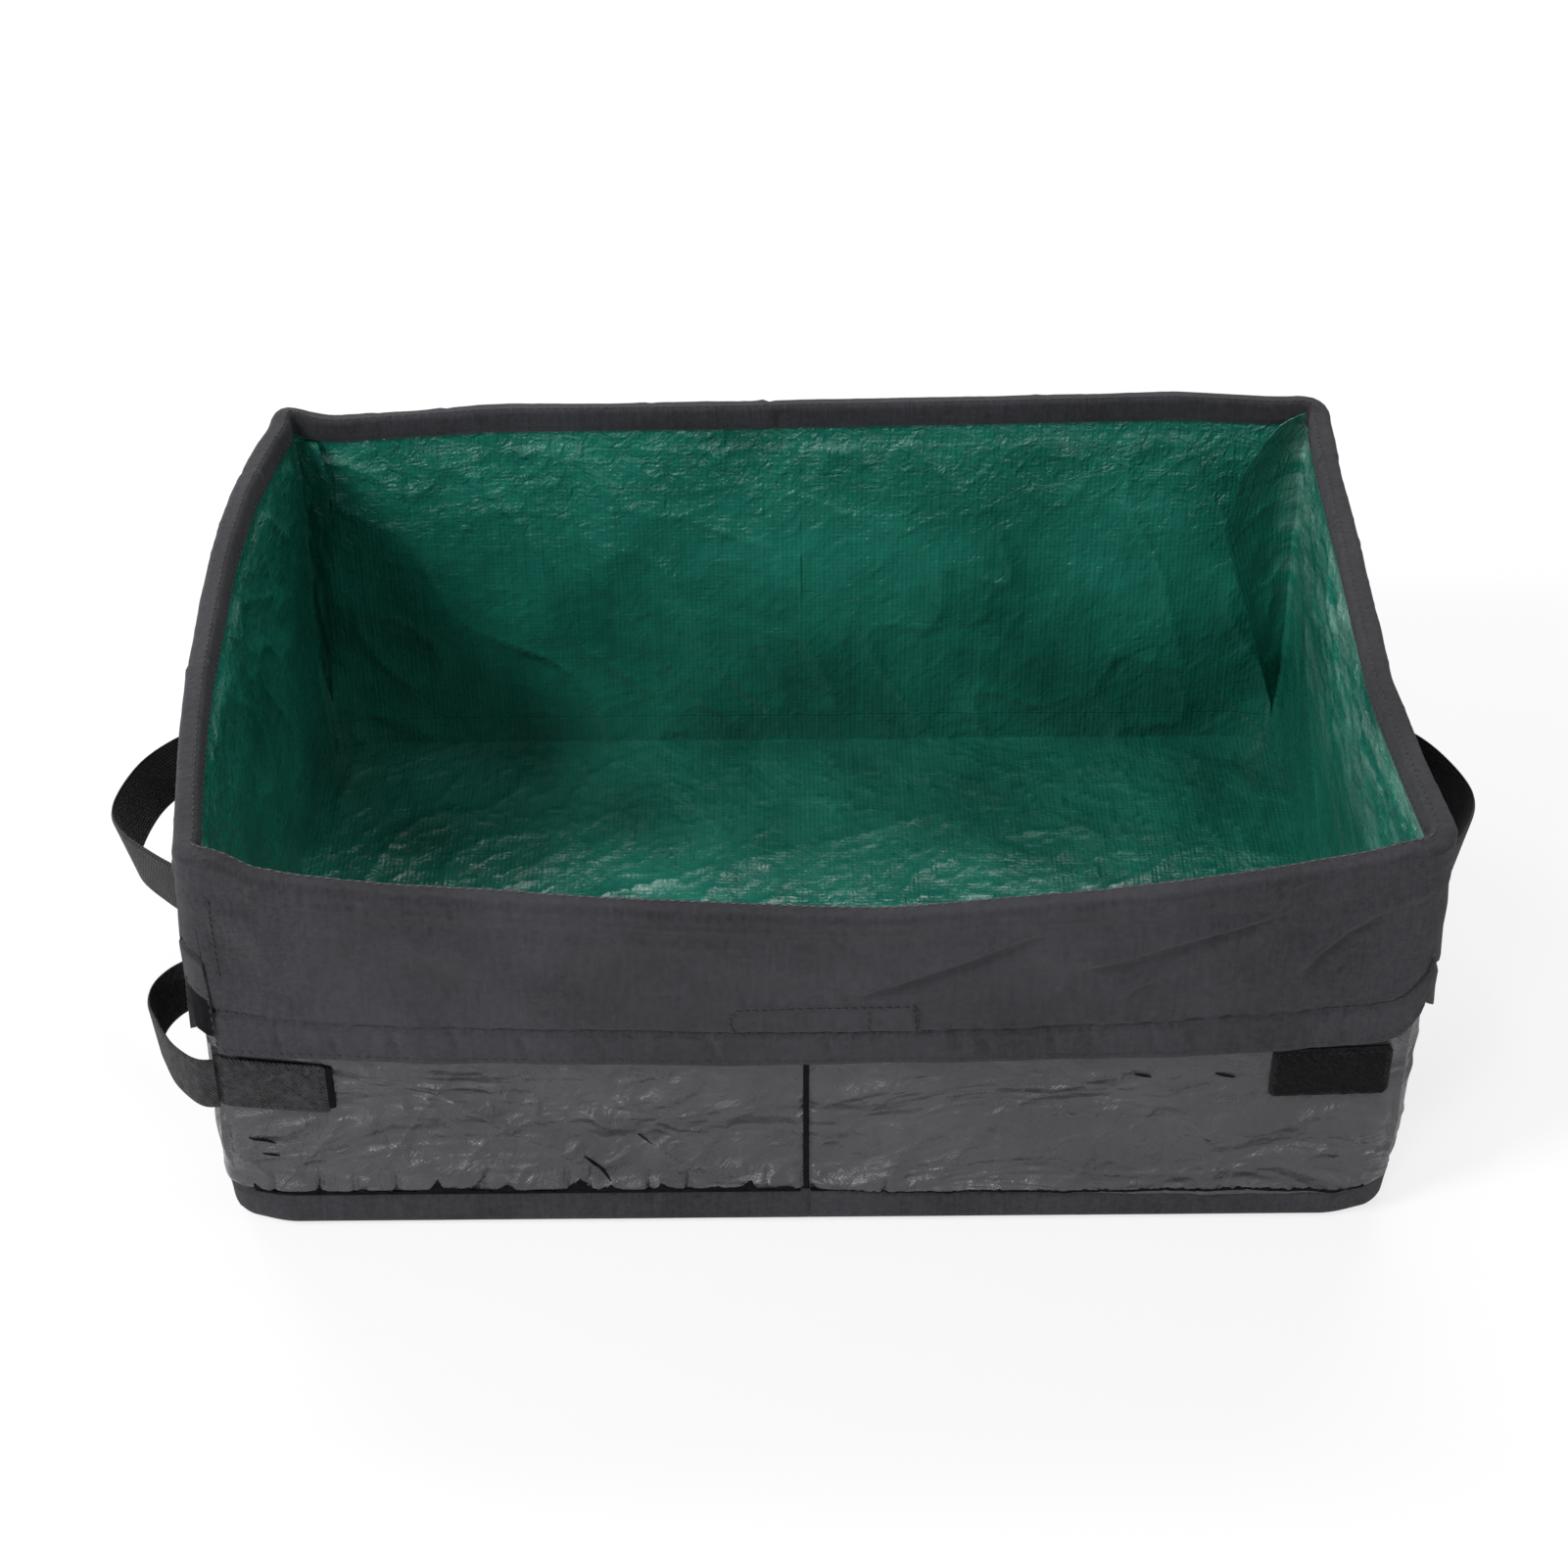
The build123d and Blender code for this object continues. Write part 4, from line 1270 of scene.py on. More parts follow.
# %% Ribbons along a smooth line
def smooth_line(points, count):
    """A Catmull-Rom line through points with any number of columns, at even steps of length."""
    points = np.asarray(points, float)
    padded = np.vstack([2 * points[0] - points[1], points, 2 * points[-1] - points[-2]])
    rows = []
    for i in range(1, len(padded) - 2):
        a, b, c, d = padded[i - 1:i + 3]
        s = np.linspace(0, 1, 24, endpoint=False)[:, None]
        start = 2 * b + (c - a) * s
        rows.append(0.5 * (start + (2 * a - 5 * b + 4 * c - d) * s**2 + (3 * b - a - 3 * c + d) * s**3))
    line = np.vstack(rows + [points[-1:]])
    length = np.concatenate([[0], np.cumsum(np.linalg.norm(np.diff(line[:, :3], axis=0), axis=1))])
    even = np.linspace(0, length[-1], count)
    return even, np.stack([np.interp(even, length, line[:, k]) for k in range(line.shape[1])], axis=-1)


def ribbon(name, points, width, thickness, material="webbing"):
    """points are x, y of the upper edge, z of the middle, then x and y by which the lower edge is moved."""
    length, line = smooth_line(points, 160)

    def middle(s, w, lift):
        place = [np.interp(s, length, line[:, k]) for k in range(5)]
        share = 0.5 - w / width
        ahead = np.stack([np.interp(s + 0.5, length, line[:, k]) - np.interp(s - 0.5, length, line[:, k])
                          for k in (0, 1)], axis=-1)
        ahead /= np.maximum(np.linalg.norm(ahead, axis=-1, keepdims=True), 1e-9)
        rounding = 1 - 0.75 * ease(np.abs(w), width / 2 - 1.0, width / 2)
        x = place[0] + share * place[3] + ahead[..., 1] * lift * rounding
        y = place[1] + share * place[4] - ahead[..., 0] * lift * rounding
        return np.stack([x, y, place[2] + w], axis=-1)

    return shell(
        name, lambda s, w: middle(s, w, thickness / 2), lambda s, w: middle(s, w, -thickness / 2),
        spaced(length[0] + 0.01, length[-1] - 0.01, 1.6 * GRAIN), spaced(-width / 2, width / 2, 1.3),
        steps=(0.4, 0.3), material=material,
    )


# %% Handles
# How far out from the wall, how far along it, and how far the lower edge leans back, in millimetres
HANDLE_POINTS = {
    "left": [(2.0, 54.6, 0), (11, 54.4, 0), (25, 51.5, 1), (36.5, 46, 2.5), (49, 29, 5), (55, 4, 7),
             (50, -12, 6), (36, -26, 4), (21, -38, 2.5), (8, -49.5, 1), (2.0, -54.6, 0)],
    "right": [(2.0, 54.6, 0), (10, 54.0, 0), (24, 48, 1), (36, 34, 3), (45, 12, 5), (45.5, -4, 5),
              (37, -23, 4), (26, -35, 2.5), (10, -48.5, 1), (2.0, -54.6, 0)],
}


def make_handles():
    for side, sign in (("left", -1), ("right", 1)):
        low, high = node_box(f"{side}_handle")
        level, width = (low[2] + high[2]) / 2, high[2] - low[2]
        points = [(sign * (FACE_X + out), y, level, -sign * lean, 0) for out, y, lean in HANDLE_POINTS[side]]
        loop = ribbon(f"{side}_carry_loop", points if sign > 0 else points[::-1], width, 1.8)
        loop.data.update()
        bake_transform(loop)
        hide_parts(f"{side}_handle")
        tab_end = node_box(f"{side}_handle_tabs")[1][1]
        for place, end in (("front", -1), ("rear", 1)):
            ends = sorted((end * 53.0, end * tab_end))
            middle_t = sorted(way_round(side, y) for y in ends)
            tab = shell(
                f"{side}_carry_tab_{place}", lambda t, z: ring(t, z, 1.9), lambda t, z: ring(t, z, 0.35),
                spaced(*middle_t, 1.6), spaced(low[2], high[2], 1.6), material="webbing",
            )
            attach(tab, f"{side}_end")
            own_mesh(tab)
            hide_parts(f"{side}_handle_tabs")


make_handles()

# %% [markdown]
# The closing strap is sewn to the front wall on a small patch. The free part goes round the corner in a
# loose loop, and its tip rests on the left wall.

# %% Closing strap
def flat_patch(name, panel, slot_name, low_x, high_x, low_z, high_z, top, bottom, slope, radius=2.0):
    """A flat piece sewn on a long wall, its corners rounded and its ends raised by slope."""
    side = PANELS[panel][0]
    start, end = sorted(way_round(side, x) for x in (low_x, high_x))
    middle, half = (start + end) / 2, (end - start) / 2
    level, tall = (low_z + high_z) / 2, (high_z - low_z) / 2

    def place(t, v, out):
        u = (t - middle) / half
        inner = np.maximum(0, np.abs(u) * half - (half - radius))
        cut = radius - np.sqrt(np.maximum(0, radius**2 - inner**2))
        edge = tall - cut
        soft = 1 - 0.5 * np.maximum(ease(np.abs(v), 0.86, 1), ease(np.abs(u), 0.93, 1))
        lift = bottom + (out - bottom) * soft
        return ring(t, level + v * edge - slope * u * half, lift)

    return shell(
        name, lambda t, v: place(t, v, top), lambda t, v: place(t, v, bottom), spaced(start, end, 1.5),
        spaced(-1, 1, 1.5 / tall), steps=(0.3, 0.3 / tall),
        chart=lambda t, v: (t, v * tall), material=slot_name,
    )


def make_strap():
    low, high = node_box("strap_anchor_patch")
    patch = flat_patch(
        "anchor_patch_bar", "front_left", "dark_inside", low[0] + 0.5, high[0] + 1.5,
        low[2] + 3.2, high[2] - 3.0, 2.2, 0.3, slope=0.10, radius=0.6,
    )
    settle(patch, "front_left", "front_left", "")
    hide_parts("strap_anchor_patch")
    low, high = node_box("closing_strap_root")
    root = flat_patch(
        "strap_root_webbing", "front_left", "strap_twill", low[0], high[0] + 1.5,
        low[2], high[2], 2.9, 1.35, slope=0.10, radius=0.8,
    )
    settle(root, "front_left", "front_left", "")
    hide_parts("closing_strap_root")
    strap_low, strap_high = node_box("closing_strap")
    level, width = (strap_low[2] + strap_high[2]) / 2 + 1.9, strap_high[2] - strap_low[2]
    points = [(-203.7, -146.0, 0), (-208.5, -145.9, 0), (-213.6, -143.0, 0.5), (-220.6, -135.6, 1),
              (-226, -126, 1.5), (-230.4, -116, 2), (-230.4, -107, 2), (-226, -98.5, 1.5), (-218, -91.5, 1),
              (-211.6, -87.9, 0)]
    loop = ribbon("strap_loop_webbing", [(x, y, level, lean, 0) for x, y, lean in points[::-1]], width, 1.5,
                  material="strap_twill")
    fasten(loop, "strap", "closing_strap")


make_strap()

# %% Loop patch
def make_loop_patch():
    low, high = node_box("loop_patch")
    patch = flat_patch("loop_patch_base", "front_right", "loop_tape", low[0], high[0], low[2], high[2],
                       1.9, 0.35, slope=-0.03)
    settle(patch, "front_right", "front_right", "")
    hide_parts("loop_patch")


make_loop_patch()

# %% [markdown]
# ## Middle seams and hook tape
# The long walls fold in half, so each has a seam in its middle, covered outside by a narrow black tape.
# The strap's tip carries a piece of hook tape on the side that meets the wall.

# %% Middle seams and hook tape
def make_seams():
    for panel, node in (("front_left", "front_middle_seam"), ("rear_right", "rear_middle_seam")):
        middle = 0.0 if panel == "front_left" else HALF_RING
        seam = shell(
            f"{node}_tape", lambda t, z: ring(t, z, 1.0 + 0.25 * gradient_noise(t / 3, z / 12, 81)),
            lambda t, z: ring(t, z, 0.15), spaced(middle - 2.0, middle, 0.5),
            spaced(BAND_TOP + 0.5, HINGE_Z - 4, 2.5), material="dark_inside",
        )
        settle(seam, panel, panel, "")
        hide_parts(node)
    low, high = node_box("strap_hook_tape")
    tape = shell(
        "strap_hook_strip", lambda y, z: np.stack([low[0] + 0 * y, -y, z], axis=-1),
        lambda y, z: np.stack([high[0] + 0 * y, -y, z], axis=-1), spaced(-high[1], -low[1], 2),
        spaced(low[2], high[2], 2), material="hook_tape",
    )
    fasten(tape, frame["nodes"]["strap_hook_tape"]["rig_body"], "strap_hook_tape")


make_seams()

# %% [markdown]
# ## Pleats in the rear corners
# The liner is cut from one rectangle, so its spare cloth is folded into a pleat at each rear corner. The
# pleat lies against the rear wall, and its free edge stands off and throws a shadow.

# %% Pleats
PLEATS = {
    "rear_right": [(4, 201, 1.0), (23, 200, 4), (60, 189, 10), (95, 178, 14), (119, 171, 15), (143, 176, 13),
                   (157, 184, 11.5), (165, 190, 10.5)],
    "rear_left": [(4, -201, 0.5), (30, -199, 2), (70, -196, 3.5), (110, -192, 5), (140, -190, 5),
                  (156, -193, 3)],
}


def make_pleats():
    for panel, keys in PLEATS.items():
        sign = 1 if panel == "rear_right" else -1
        heights, edge_x, stand = (np.array(column, float) for column in zip(*keys))

        def pleat(z, share, back):
            x0, off = np.interp(z, heights, edge_x), np.interp(z, heights, stand)
            x1 = sign * (LONG_HALF + 6.0 - 0.6)
            x = x0 + (x1 - x0) * share
            near = END_HALF + 5.2 - off * np.clip(1 - share, 0, 1) ** 1.3
            near = near - 1.1 * np.sin(share * math.pi) * gradient_noise(z / 16, share * 2.5, 91)
            near = near - 0.6 * ridges(z, share * 30, 16, 92, lean=0.5) ** 2 * np.sin(share * math.pi)
            return np.stack([x, near + back * (0.7 + 0 * x), z], axis=-1)

        low_z = FOLD["rear"] + 0.5
        zs, shares = spaced(low_z, keys[-1][0], 2.0), np.linspace(0, 1, 22)
        skins = (lambda z, share: pleat(z, share, 0)), (lambda z, share: pleat(z, share, 1))
        piece = shell(f"{panel}_pleat_fold", *skins[::sign], zs, shares, steps=(0.5, 0.02),
                      chart=lambda z, share: (share * 30, z), material="green_liner")
        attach(piece, panel)
        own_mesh(piece)
        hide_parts(f"{panel}_pleat")


make_pleats()

# %% [markdown]
# ## Stitches
# A row of stitches is one short capsule repeated along a line, so Geometry Nodes make it. The line is
# resampled to the stitch's pitch and each capsule turns to the line's direction, with a little seeded
# unevenness. The result becomes a plain mesh, one for each row and body.

# %% Stitch tree
def growth_tree(name, floats, seed):
    """A node tree with its inputs: the geometry, some lengths, a seed and the thread's material."""
    tree = bpy.data.node_groups.new(name, "GeometryNodeTree")
    face = tree.interface
    face.new_socket("Geometry", in_out="INPUT", socket_type="NodeSocketGeometry")
    for key, value in floats:
        face.new_socket(key, in_out="INPUT", socket_type="NodeSocketFloat").default_value = value
    face.new_socket("Seed", in_out="INPUT", socket_type="NodeSocketInt").default_value = seed
    face.new_socket("Thread", in_out="INPUT", socket_type="NodeSocketMaterial")
    face.new_socket("Geometry", in_out="OUTPUT", socket_type="NodeSocketGeometry")
    return tree, tree.nodes.new("NodeGroupInput")


def paint_copies(tree, group_in, place):
    """Turns the placed copies into real mesh in the thread's material and sends it out."""
    new, link = tree.nodes.new, tree.links.new
    real, paint = new("GeometryNodeRealizeInstances"), new("GeometryNodeSetMaterial")
    link(place.outputs["Instances"], real.inputs["Geometry"])
    link(real.outputs["Geometry"], paint.inputs["Geometry"])
    link(group_in.outputs["Thread"], paint.inputs["Material"])
    link(paint.outputs["Geometry"], new("NodeGroupOutput").inputs["Geometry"])


def build_stitch_tree():
    lengths = ("Stitch Length", 0.0024), ("Gap", 0.0009), ("Thickness", 0.0005)
    tree, group_in = growth_tree("stitch_row", lengths, 7)
    new, link = tree.nodes.new, tree.links.new
    line, even = new("GeometryNodeMeshToCurve"), new("GeometryNodeResampleCurve")
    even.mode = "LENGTH"
    pitch = new("ShaderNodeMath")
    link(group_in.outputs["Stitch Length"], pitch.inputs[0])
    link(group_in.outputs["Gap"], pitch.inputs[1])
    link(group_in.outputs["Geometry"], line.inputs["Mesh"])
    link(line.outputs["Curve"], even.inputs["Curve"])
    link(pitch.outputs[0], even.inputs["Length"])
    ball = new("GeometryNodeMeshUVSphere")
    ball.inputs["Segments"].default_value = 6
    ball.inputs["Rings"].default_value = 4
    ball.inputs["Radius"].default_value = 0.5
    tangent, turn = new("GeometryNodeInputTangent"), new("FunctionNodeAlignRotationToVector")
    turn.axis = "X"
    link(tangent.outputs[0], turn.inputs["Vector"])
    wobble = new("FunctionNodeRandomValue")
    wobble.data_type = "FLOAT_VECTOR"
    wobble.inputs["Min"].default_value = (-0.05, -0.05, -0.10)
    wobble.inputs["Max"].default_value = (0.05, 0.05, 0.10)
    link(group_in.outputs["Seed"], wobble.inputs["Seed"])
    uneven = new("FunctionNodeRotateRotation")
    link(turn.outputs[0], uneven.inputs[0])
    link(wobble.outputs[0], uneven.inputs[1])
    size = new("ShaderNodeCombineXYZ")
    link(group_in.outputs["Stitch Length"], size.inputs["X"])
    link(group_in.outputs["Thickness"], size.inputs["Y"])
    link(group_in.outputs["Thickness"], size.inputs["Z"])
    place = new("GeometryNodeInstanceOnPoints")
    link(even.outputs["Curve"], place.inputs["Points"])
    link(ball.outputs["Mesh"], place.inputs["Instance"])
    link(uneven.outputs[0], place.inputs["Rotation"])
    link(size.outputs[0], place.inputs["Scale"])
    paint_copies(tree, group_in, place)
    return tree


STITCH_TREE = build_stitch_tree()


def grown(name, source_mesh, tree, values):
    """Runs a node tree on a mesh and returns the result as a plain mesh object."""
    base = bpy.data.objects.new(name + "_lines", source_mesh)
    bpy.context.scene.collection.objects.link(base)
    modifier = base.modifiers.new("grow", "NODES")
    modifier.node_group = tree
    for item in tree.interface.items_tree:
        if item.item_type == "SOCKET" and item.in_out == "INPUT" and item.name in values:
            modifier[item.identifier] = values[item.name]
    depsgraph = bpy.context.evaluated_depsgraph_get()
    depsgraph.update()
    mesh = bpy.data.meshes.new_from_object(base.evaluated_get(depsgraph))
    bpy.data.objects.remove(base)
    mesh.polygons.foreach_set("use_smooth", np.ones(len(mesh.polygons), bool))
    piece = bpy.data.objects.new(name, mesh)
    bpy.context.scene.collection.objects.link(piece)
    return piece


def stitch_rows(name, rows, thread="dark_thread", length=2.4, gap=0.9, thick=0.5):
    """rows are lists of points in millimetres."""
    points, edges = [], []
    for row in rows:
        start = len(points)
        points += (np.asarray(row) / MM).tolist()
        edges += [(start + k, start + k + 1) for k in range(len(row) - 1)]
    mesh = bpy.data.meshes.new(name + "_lines")
    mesh.from_pydata(points, edges, [])
    values = {"Stitch Length": length / MM, "Gap": gap / MM, "Thickness": thick / MM,
              "Thread": MATERIALS[thread]}
    return grown(name, mesh, STITCH_TREE, values)


# %% Rows on the rim and the hem
def row_on(surface, ts, v):
    return surface(ts, np.zeros_like(ts) + v)


def make_long_rows():
    inner_way = RIM_LENGTH[-1] - 2.2
    for panel, (side, _, _) in PANELS.items():
        height = skirt_height(side)
        for suffix, start, end in spans(panel):
            ts = np.linspace(start + 1.2, end - 1.2, max(8, int((end - start) / 3)))
            rim_row = row_on(lifted(rim_surface, 0.16, 0.5, 0.4), ts, inner_way)
            top_row = row_on(lifted(rim_surface, 0.1, 0.5, 0.4), ts, RIM_LENGTH[-1] - INNER_DEPTH - 1.0)
            # The front rim's stitches take the lighter thread as a painted highlight; the other sides take the
            # dark thread.
            thread_name = "painted_highlight_thread" if side == "front" else "dark_thread"
            piece = stitch_rows(f"{panel}_rim_stitches{suffix}", [rim_row, top_row], thread_name)
            settle(piece, panel, panel, suffix)
            edge = skirt_edge(ts)
            share = 17.3 / (HINGE_Z - edge)
            hem_row = lifted(skirt_outside, 0.25, 0.5, 0.5 / height)(ts, share)
            share = 2.2 / (HINGE_Z - edge)
            low_row = lifted(skirt_outside, 0.05, 0.5, 0.5 / height)(ts, share)
            thick = 0.65 if panel == "front_left" else 0.45
            piece = stitch_rows(f"{panel}_hem_stitches{suffix}", [hem_row, low_row], thick=thick)
            settle(piece, panel, f"{panel}_skirt", suffix)


make_long_rows()


# %% Stitched shapes on the front
def traced(path, count):
    """Points along each leg of a path."""
    return np.vstack([np.linspace(start, end, count) for start, end in zip(path, path[1:])])


def box_and_cross(x0, x1, z0, z1):
    """The paths of a sewn box with a cross in it."""
    outline = [(x0, z0), (x1, z0), (x1, z1), (x0, z1), (x0, z0)]
    return [outline, [(x0, z0), (x1, z1)], [(x0, z1), (x1, z0)]]


def skirt_line(points):
    """A row on the skirt through points given as t and height above the ground."""
    rows = []
    for start, end in zip(points, points[1:]):
        count = max(2, int(math.dist(start, end) / 1.5))
        rows.append(np.linspace(start, end, count, endpoint=False))
    line = np.vstack(rows + [np.array([points[-1]], float)])
    ts, zs = line[:, 0], line[:, 1]
    edge = skirt_edge(ts)
    height = skirt_height("front")
    return lifted(skirt_outside, 0.3, 0.5, 0.5 / height)(ts, (zs - edge) / (HINGE_Z - edge))


def skirt_stitches(name, panel, paths, length, gap, thick):
    piece = stitch_rows(name, [skirt_line(path) for path in paths], length=length, gap=gap, thick=thick)
    settle(piece, panel, f"{panel}_skirt", "")


def make_front_rows():
    angles = np.linspace(-math.pi / 2, math.pi / 2, 9)
    bend = [(-22 - 4.5 * math.cos(a), 106.5 + 7.5 * math.sin(a)) for a in angles]
    left = [(-0.5, 99.2)] + bend + [(-0.5, 114.6)]
    skirt_stitches("tunnel_stitches_left", "front_left", [left], 2.3, 0.6, 0.75)
    right = [(0.5, 114.6), (36, 115.5), (37, 99.8), (0.5, 99.2)]
    bars = [[(20, 99.6), (20, 115)], [(36.2, 99.8), (34.8, 115.5)]]
    skirt_stitches("tunnel_stitches_right", "front_right", [right] + bars, 2.3, 0.6, 0.75)
    corner = [(-196.9, 151), (-197.2, 133), (-197.0, 121)]
    skirt_stitches("corner_stitches_left", "front_left", [corner], 2.0, 0.9, 0.7)
    low, high = node_box("loop_patch")
    x0, x1, z0, z1 = low[0] + 1.6, high[0] - 1.6, low[2] + 1.6, high[2] - 1.6
    row = traced(box_and_cross(x0, x1, z0, z1)[0], 14)
    slope = 0.03 * (row[:, 0] - (x0 + x1) / 2)
    rows = [ring(row[:, 0], row[:, 1] + slope, 1.95)]
    piece = stitch_rows("loop_patch_stitches", rows, "black_thread", 2.0, 0.8, 0.5)
    settle(piece, "front_right", "front_right", "")
    low, high = node_box("closing_strap_root")
    x0, x1, z0, z1 = low[0] + 14, high[0] - 1, low[2] + 2, high[2] - 2
    middle = (low[0] + high[0] + 1.5) / 2
    rows = []
    for path in box_and_cross(x0, x1, z0, z1):
        line = traced(path, 14)
        rows.append(ring(line[:, 0], line[:, 1] - 0.10 * (line[:, 0] - middle), 3.0))
    piece = stitch_rows("strap_box_stitches", rows, "black_thread", 1.9, 0.7, 0.5)
    settle(piece, "front_left", "front_left", "")
    for side in ("left", "right"):
        low, high = node_box(f"{side}_handle_tabs")
        rows = []
        for end in (-1, 1):
            ys = sorted((end * 56.5, end * (high[1] - 1.8)))
            for path in box_and_cross(*ys, low[2] + 2, high[2] - 2):
                line = traced(path, 12)
                t = way_round(side, 0) + line[:, 0] * (1 if side == "right" else -1)
                rows.append(ring(t, line[:, 1], 1.98))
        piece = stitch_rows(f"{side}_tab_stitches", rows, "black_thread", 1.9, 0.7, 0.5)
        settle(piece, f"{side}_end", f"{side}_end", "")


make_front_rows()
print("stitches made")

# %% [markdown]
# ## Painted shade in gaps and creases
# Above the band the film gapes a little, and a jagged strip of near-black cloth on it is painted shade. So are
# near-black strips along some film creases and a piece in the hem tunnel's open end. All are separate thin
# pieces, so they look dark from any side.

# %% Painted shade pieces
# Spikes of the painted shade strip above the band: place, height and width.
SHADE_STRIP_SPIKES = [(-197, 5, 2.5), (-175, 3.5, 4), (-159, 4, 3), (-132, 6, 2.5), (-126, 3, 4), (-107, 5, 3),
               (-81, 6.5, 3), (-70, 4, 4), (-51, 5, 3.5), (-33, 3, 4), (-22, 5.5, 4), (-8, 3, 3)]
# Thin near-black strips along creases of the film, painted shade: panel, points as t and height, and width.
CREASE_SHADE_STRIPS = [
    ("front_left", [(-196, 43.5), (-190, 42), (-187, 40.5)], 1.3),
    ("front_left", [(-192, 36), (-186, 34.5)], 1.0),
    ("front_left", [(-79, 34.5), (-74, 29), (-70, 22)], 1.2), ("front_left", [(-60, 45), (-55, 40)], 0.7),
    ("front_right", [(112, 71), (118, 69.5)], 1.1), ("front_right", [(140, 70.5), (147, 68.5)], 1.1),
]


def shade_strip_top(t):
    jagged = 0.9 + 1.0 * np.abs(gradient_noise(t / 5, 0 * t, 95)) + 0.8 * gradient_noise(t / 1.8, 0 * t, 96)
    for place, tall, wide in SHADE_STRIP_SPIKES:
        jagged = jagged + tall * np.exp(-np.abs((t - place) / wide) ** 1.2) * (t < 0)
    return np.maximum(jagged, 0.4) * np.where(t > 2, 0.75, 1.0)


def make_painted_shade():
    # A jagged near-black strip laid on the film above the band is painted shade where the film bunches over
    # the band.
    for panel in ("front_left", "front_right"):
        low, high = (-197, -3.2) if panel == "front_left" else (0.5, 197)

        def layer(t, share):
            foot = BAND_TOP - 0.6
            z = foot + share * shade_strip_top(t)
            bend = (z - foot) * 0.35 * gradient_noise(t / 9, 0 * t, 97)
            return ring(t + bend, z, FILM_FACE + np.maximum(film_relief(t + bend, z), 0.9) + 0.28)

        gape = shell(f"{panel}_painted_shade_strip", layer, lambda t, share: layer(t, share) + np.array([0, 0.9, 0]),
                     spaced(low, high, 0.6), np.linspace(0, 1, 8), steps=(0.4, 0.05),
                     chart=lambda t, share: (t, 4 * share), material="dark_inside")
        settle(gape, panel, panel, "")
    # Each strip lies on the film along its crease, painted shade.
    for number, (panel, points, width) in enumerate(CREASE_SHADE_STRIPS):
        path = np.array(points, float)
        length = np.concatenate([[0], np.cumsum(np.hypot(*np.diff(path, axis=0).T))])
        heading = math.atan2(path[-1, 1] - path[0, 1], path[-1, 0] - path[0, 0])

        def crease_shade(s, across, deep):
            t, z = np.interp(s, length, path[:, 0]), np.interp(s, length, path[:, 1])
            half = width / 2 * np.sin(np.clip(s / length[-1], 0.02, 0.98) * math.pi) ** 0.6
            t, z = t - math.sin(heading) * half * across, z + math.cos(heading) * half * across
            return ring(t, z, FILM_FACE + film_relief(t, z) + 0.2 - deep)

        piece = shell(f"film_crease_shade_{number}", lambda s, across: crease_shade(s, across, 0),
                      lambda s, across: crease_shade(s, across, 0.8), spaced(0, length[-1], 0.6),
                      np.linspace(-1, 1, 5), steps=(0.3, 0.1), material="dark_inside")
        settle(piece, panel, panel, "")
    # Near-black pieces in the open end of the hem's tunnel are painted shade for its deep inside.
    for name, panel, suffix, start, end in (
        ("hem_mouth_shade_front", "front_left", "_corner", -206.3, MOUTH[1] + 1.5),
        ("hem_mouth_shade_end", "left_end", "", MOUTH[0] - 1.5, -206.4),
    ):
        mouth = shell(name, lambda t, z: ring(t, z, OUTER_LEG - 0.5 + 0.3 * gradient_noise(t / 3, z / 6, 98)),
                      lambda t, z: ring(t, z, OUTER_LEG - 2.0), spaced(start, end, 0.7), spaced(92, 119, 1.5),
                      material="dark_inside")
        settle(mouth, panel, f"{panel}_skirt", suffix)


make_painted_shade()

# %% [markdown]
# ## Loops of the loop patch
# The fuzzy face of a loop patch is thousands of tiny rings of thread. A scatter of small loops, turned at
# random from a fixed seed, gives its rough outline; the bump of its material does the rest.

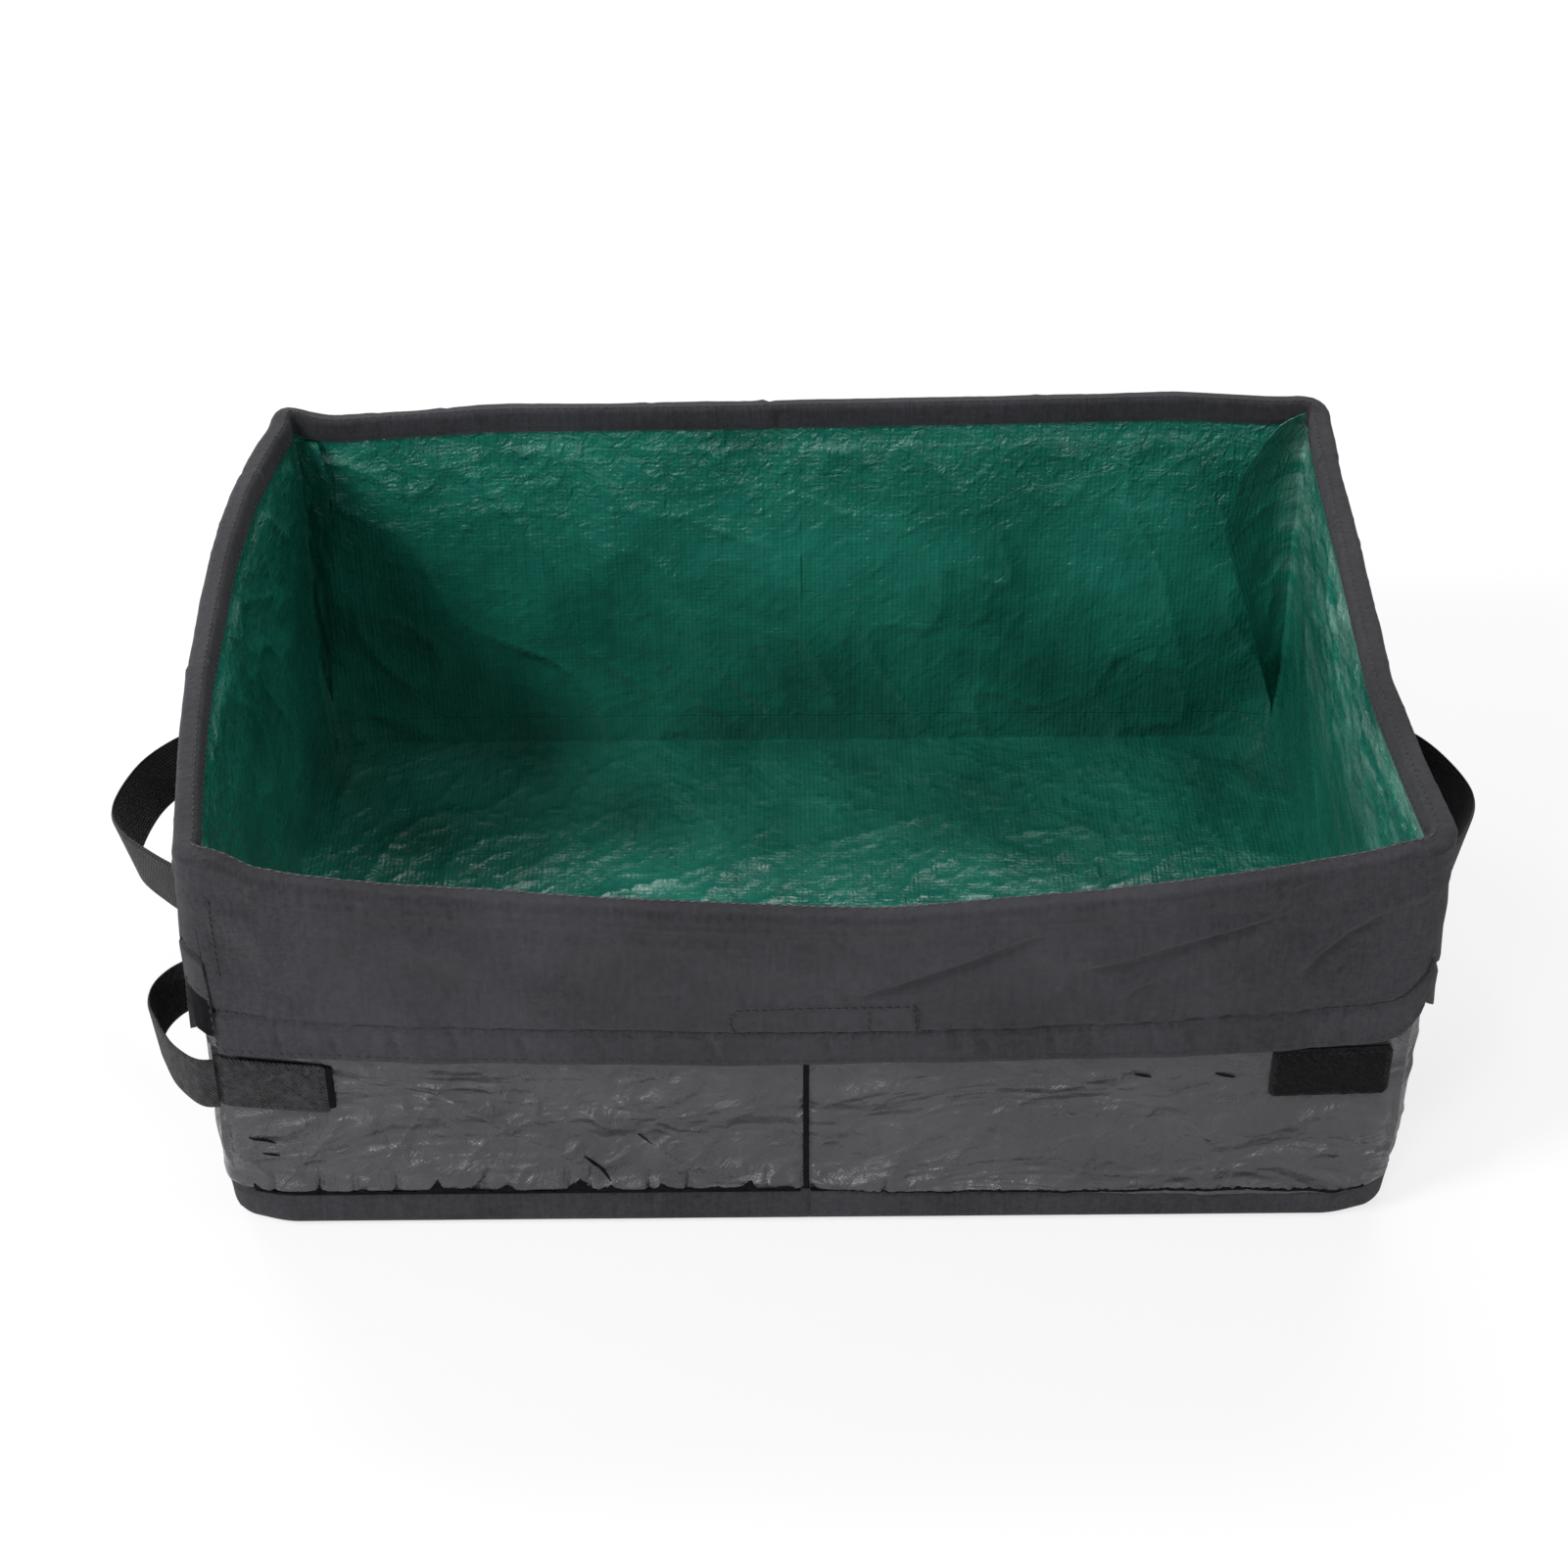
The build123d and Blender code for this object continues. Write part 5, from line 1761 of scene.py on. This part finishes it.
# %% Loop fuzz
def build_fuzz_tree():
    amounts = ("Density", 1.4e6), ("Loop Radius", 0.0006), ("Thread Radius", 0.00011)
    tree, group_in = growth_tree("loop_fuzz", amounts, 3)
    new, link = tree.nodes.new, tree.links.new
    scatter = new("GeometryNodeDistributePointsOnFaces")
    link(group_in.outputs["Geometry"], scatter.inputs["Mesh"])
    link(group_in.outputs["Density"], scatter.inputs["Density"])
    link(group_in.outputs["Seed"], scatter.inputs["Seed"])
    circle, thread_circle = new("GeometryNodeCurvePrimitiveCircle"), new("GeometryNodeCurvePrimitiveCircle")
    tube = new("GeometryNodeCurveToMesh")
    circle.inputs["Resolution"].default_value = 7
    thread_circle.inputs["Resolution"].default_value = 3
    link(group_in.outputs["Loop Radius"], circle.inputs["Radius"])
    link(group_in.outputs["Thread Radius"], thread_circle.inputs["Radius"])
    link(circle.outputs["Curve"], tube.inputs["Curve"])
    link(thread_circle.outputs["Curve"], tube.inputs["Profile Curve"])
    turn, size = new("FunctionNodeRandomValue"), new("FunctionNodeRandomValue")
    turn.data_type = "FLOAT_VECTOR"
    turn.inputs["Max"].default_value = (math.tau, math.tau, math.tau)
    size.inputs[2].default_value = 0.6
    size.inputs[3].default_value = 1.25
    link(group_in.outputs["Seed"], turn.inputs["Seed"])
    link(group_in.outputs["Seed"], size.inputs["Seed"])
    place = new("GeometryNodeInstanceOnPoints")
    link(scatter.outputs["Points"], place.inputs["Points"])
    link(tube.outputs["Mesh"], place.inputs["Instance"])
    link(turn.outputs[0], place.inputs["Rotation"])
    link(size.outputs[1], place.inputs["Scale"])
    paint_copies(tree, group_in, place)
    return tree


def make_fuzz():
    low, high = node_box("loop_patch")
    xs, zs = spaced(low[0] + 1.2, high[0] - 1.2, 2), spaced(low[2] + 1.2, high[2] - 1.2, 2)
    X, Z = np.meshgrid(xs, zs, indexing="ij")
    points = ring(X, Z + 0.03 * (X - (low[0] + high[0]) / 2), 2.0).reshape(-1, 3) / MM
    quads = grid(*X.shape)[1]
    mesh = bpy.data.meshes.new("loop_patch_face")
    mesh.from_pydata(points.tolist(), [], quads.tolist())
    values = {"Density": 2.2e6, "Thread": MATERIALS["loop_tape"]}
    fuzz = grown("loop_patch_fuzz", mesh, build_fuzz_tree(), values)
    settle(fuzz, "front_right", "front_right", "")
    print("loops", len(fuzz.data.polygons) // 21)


make_fuzz()
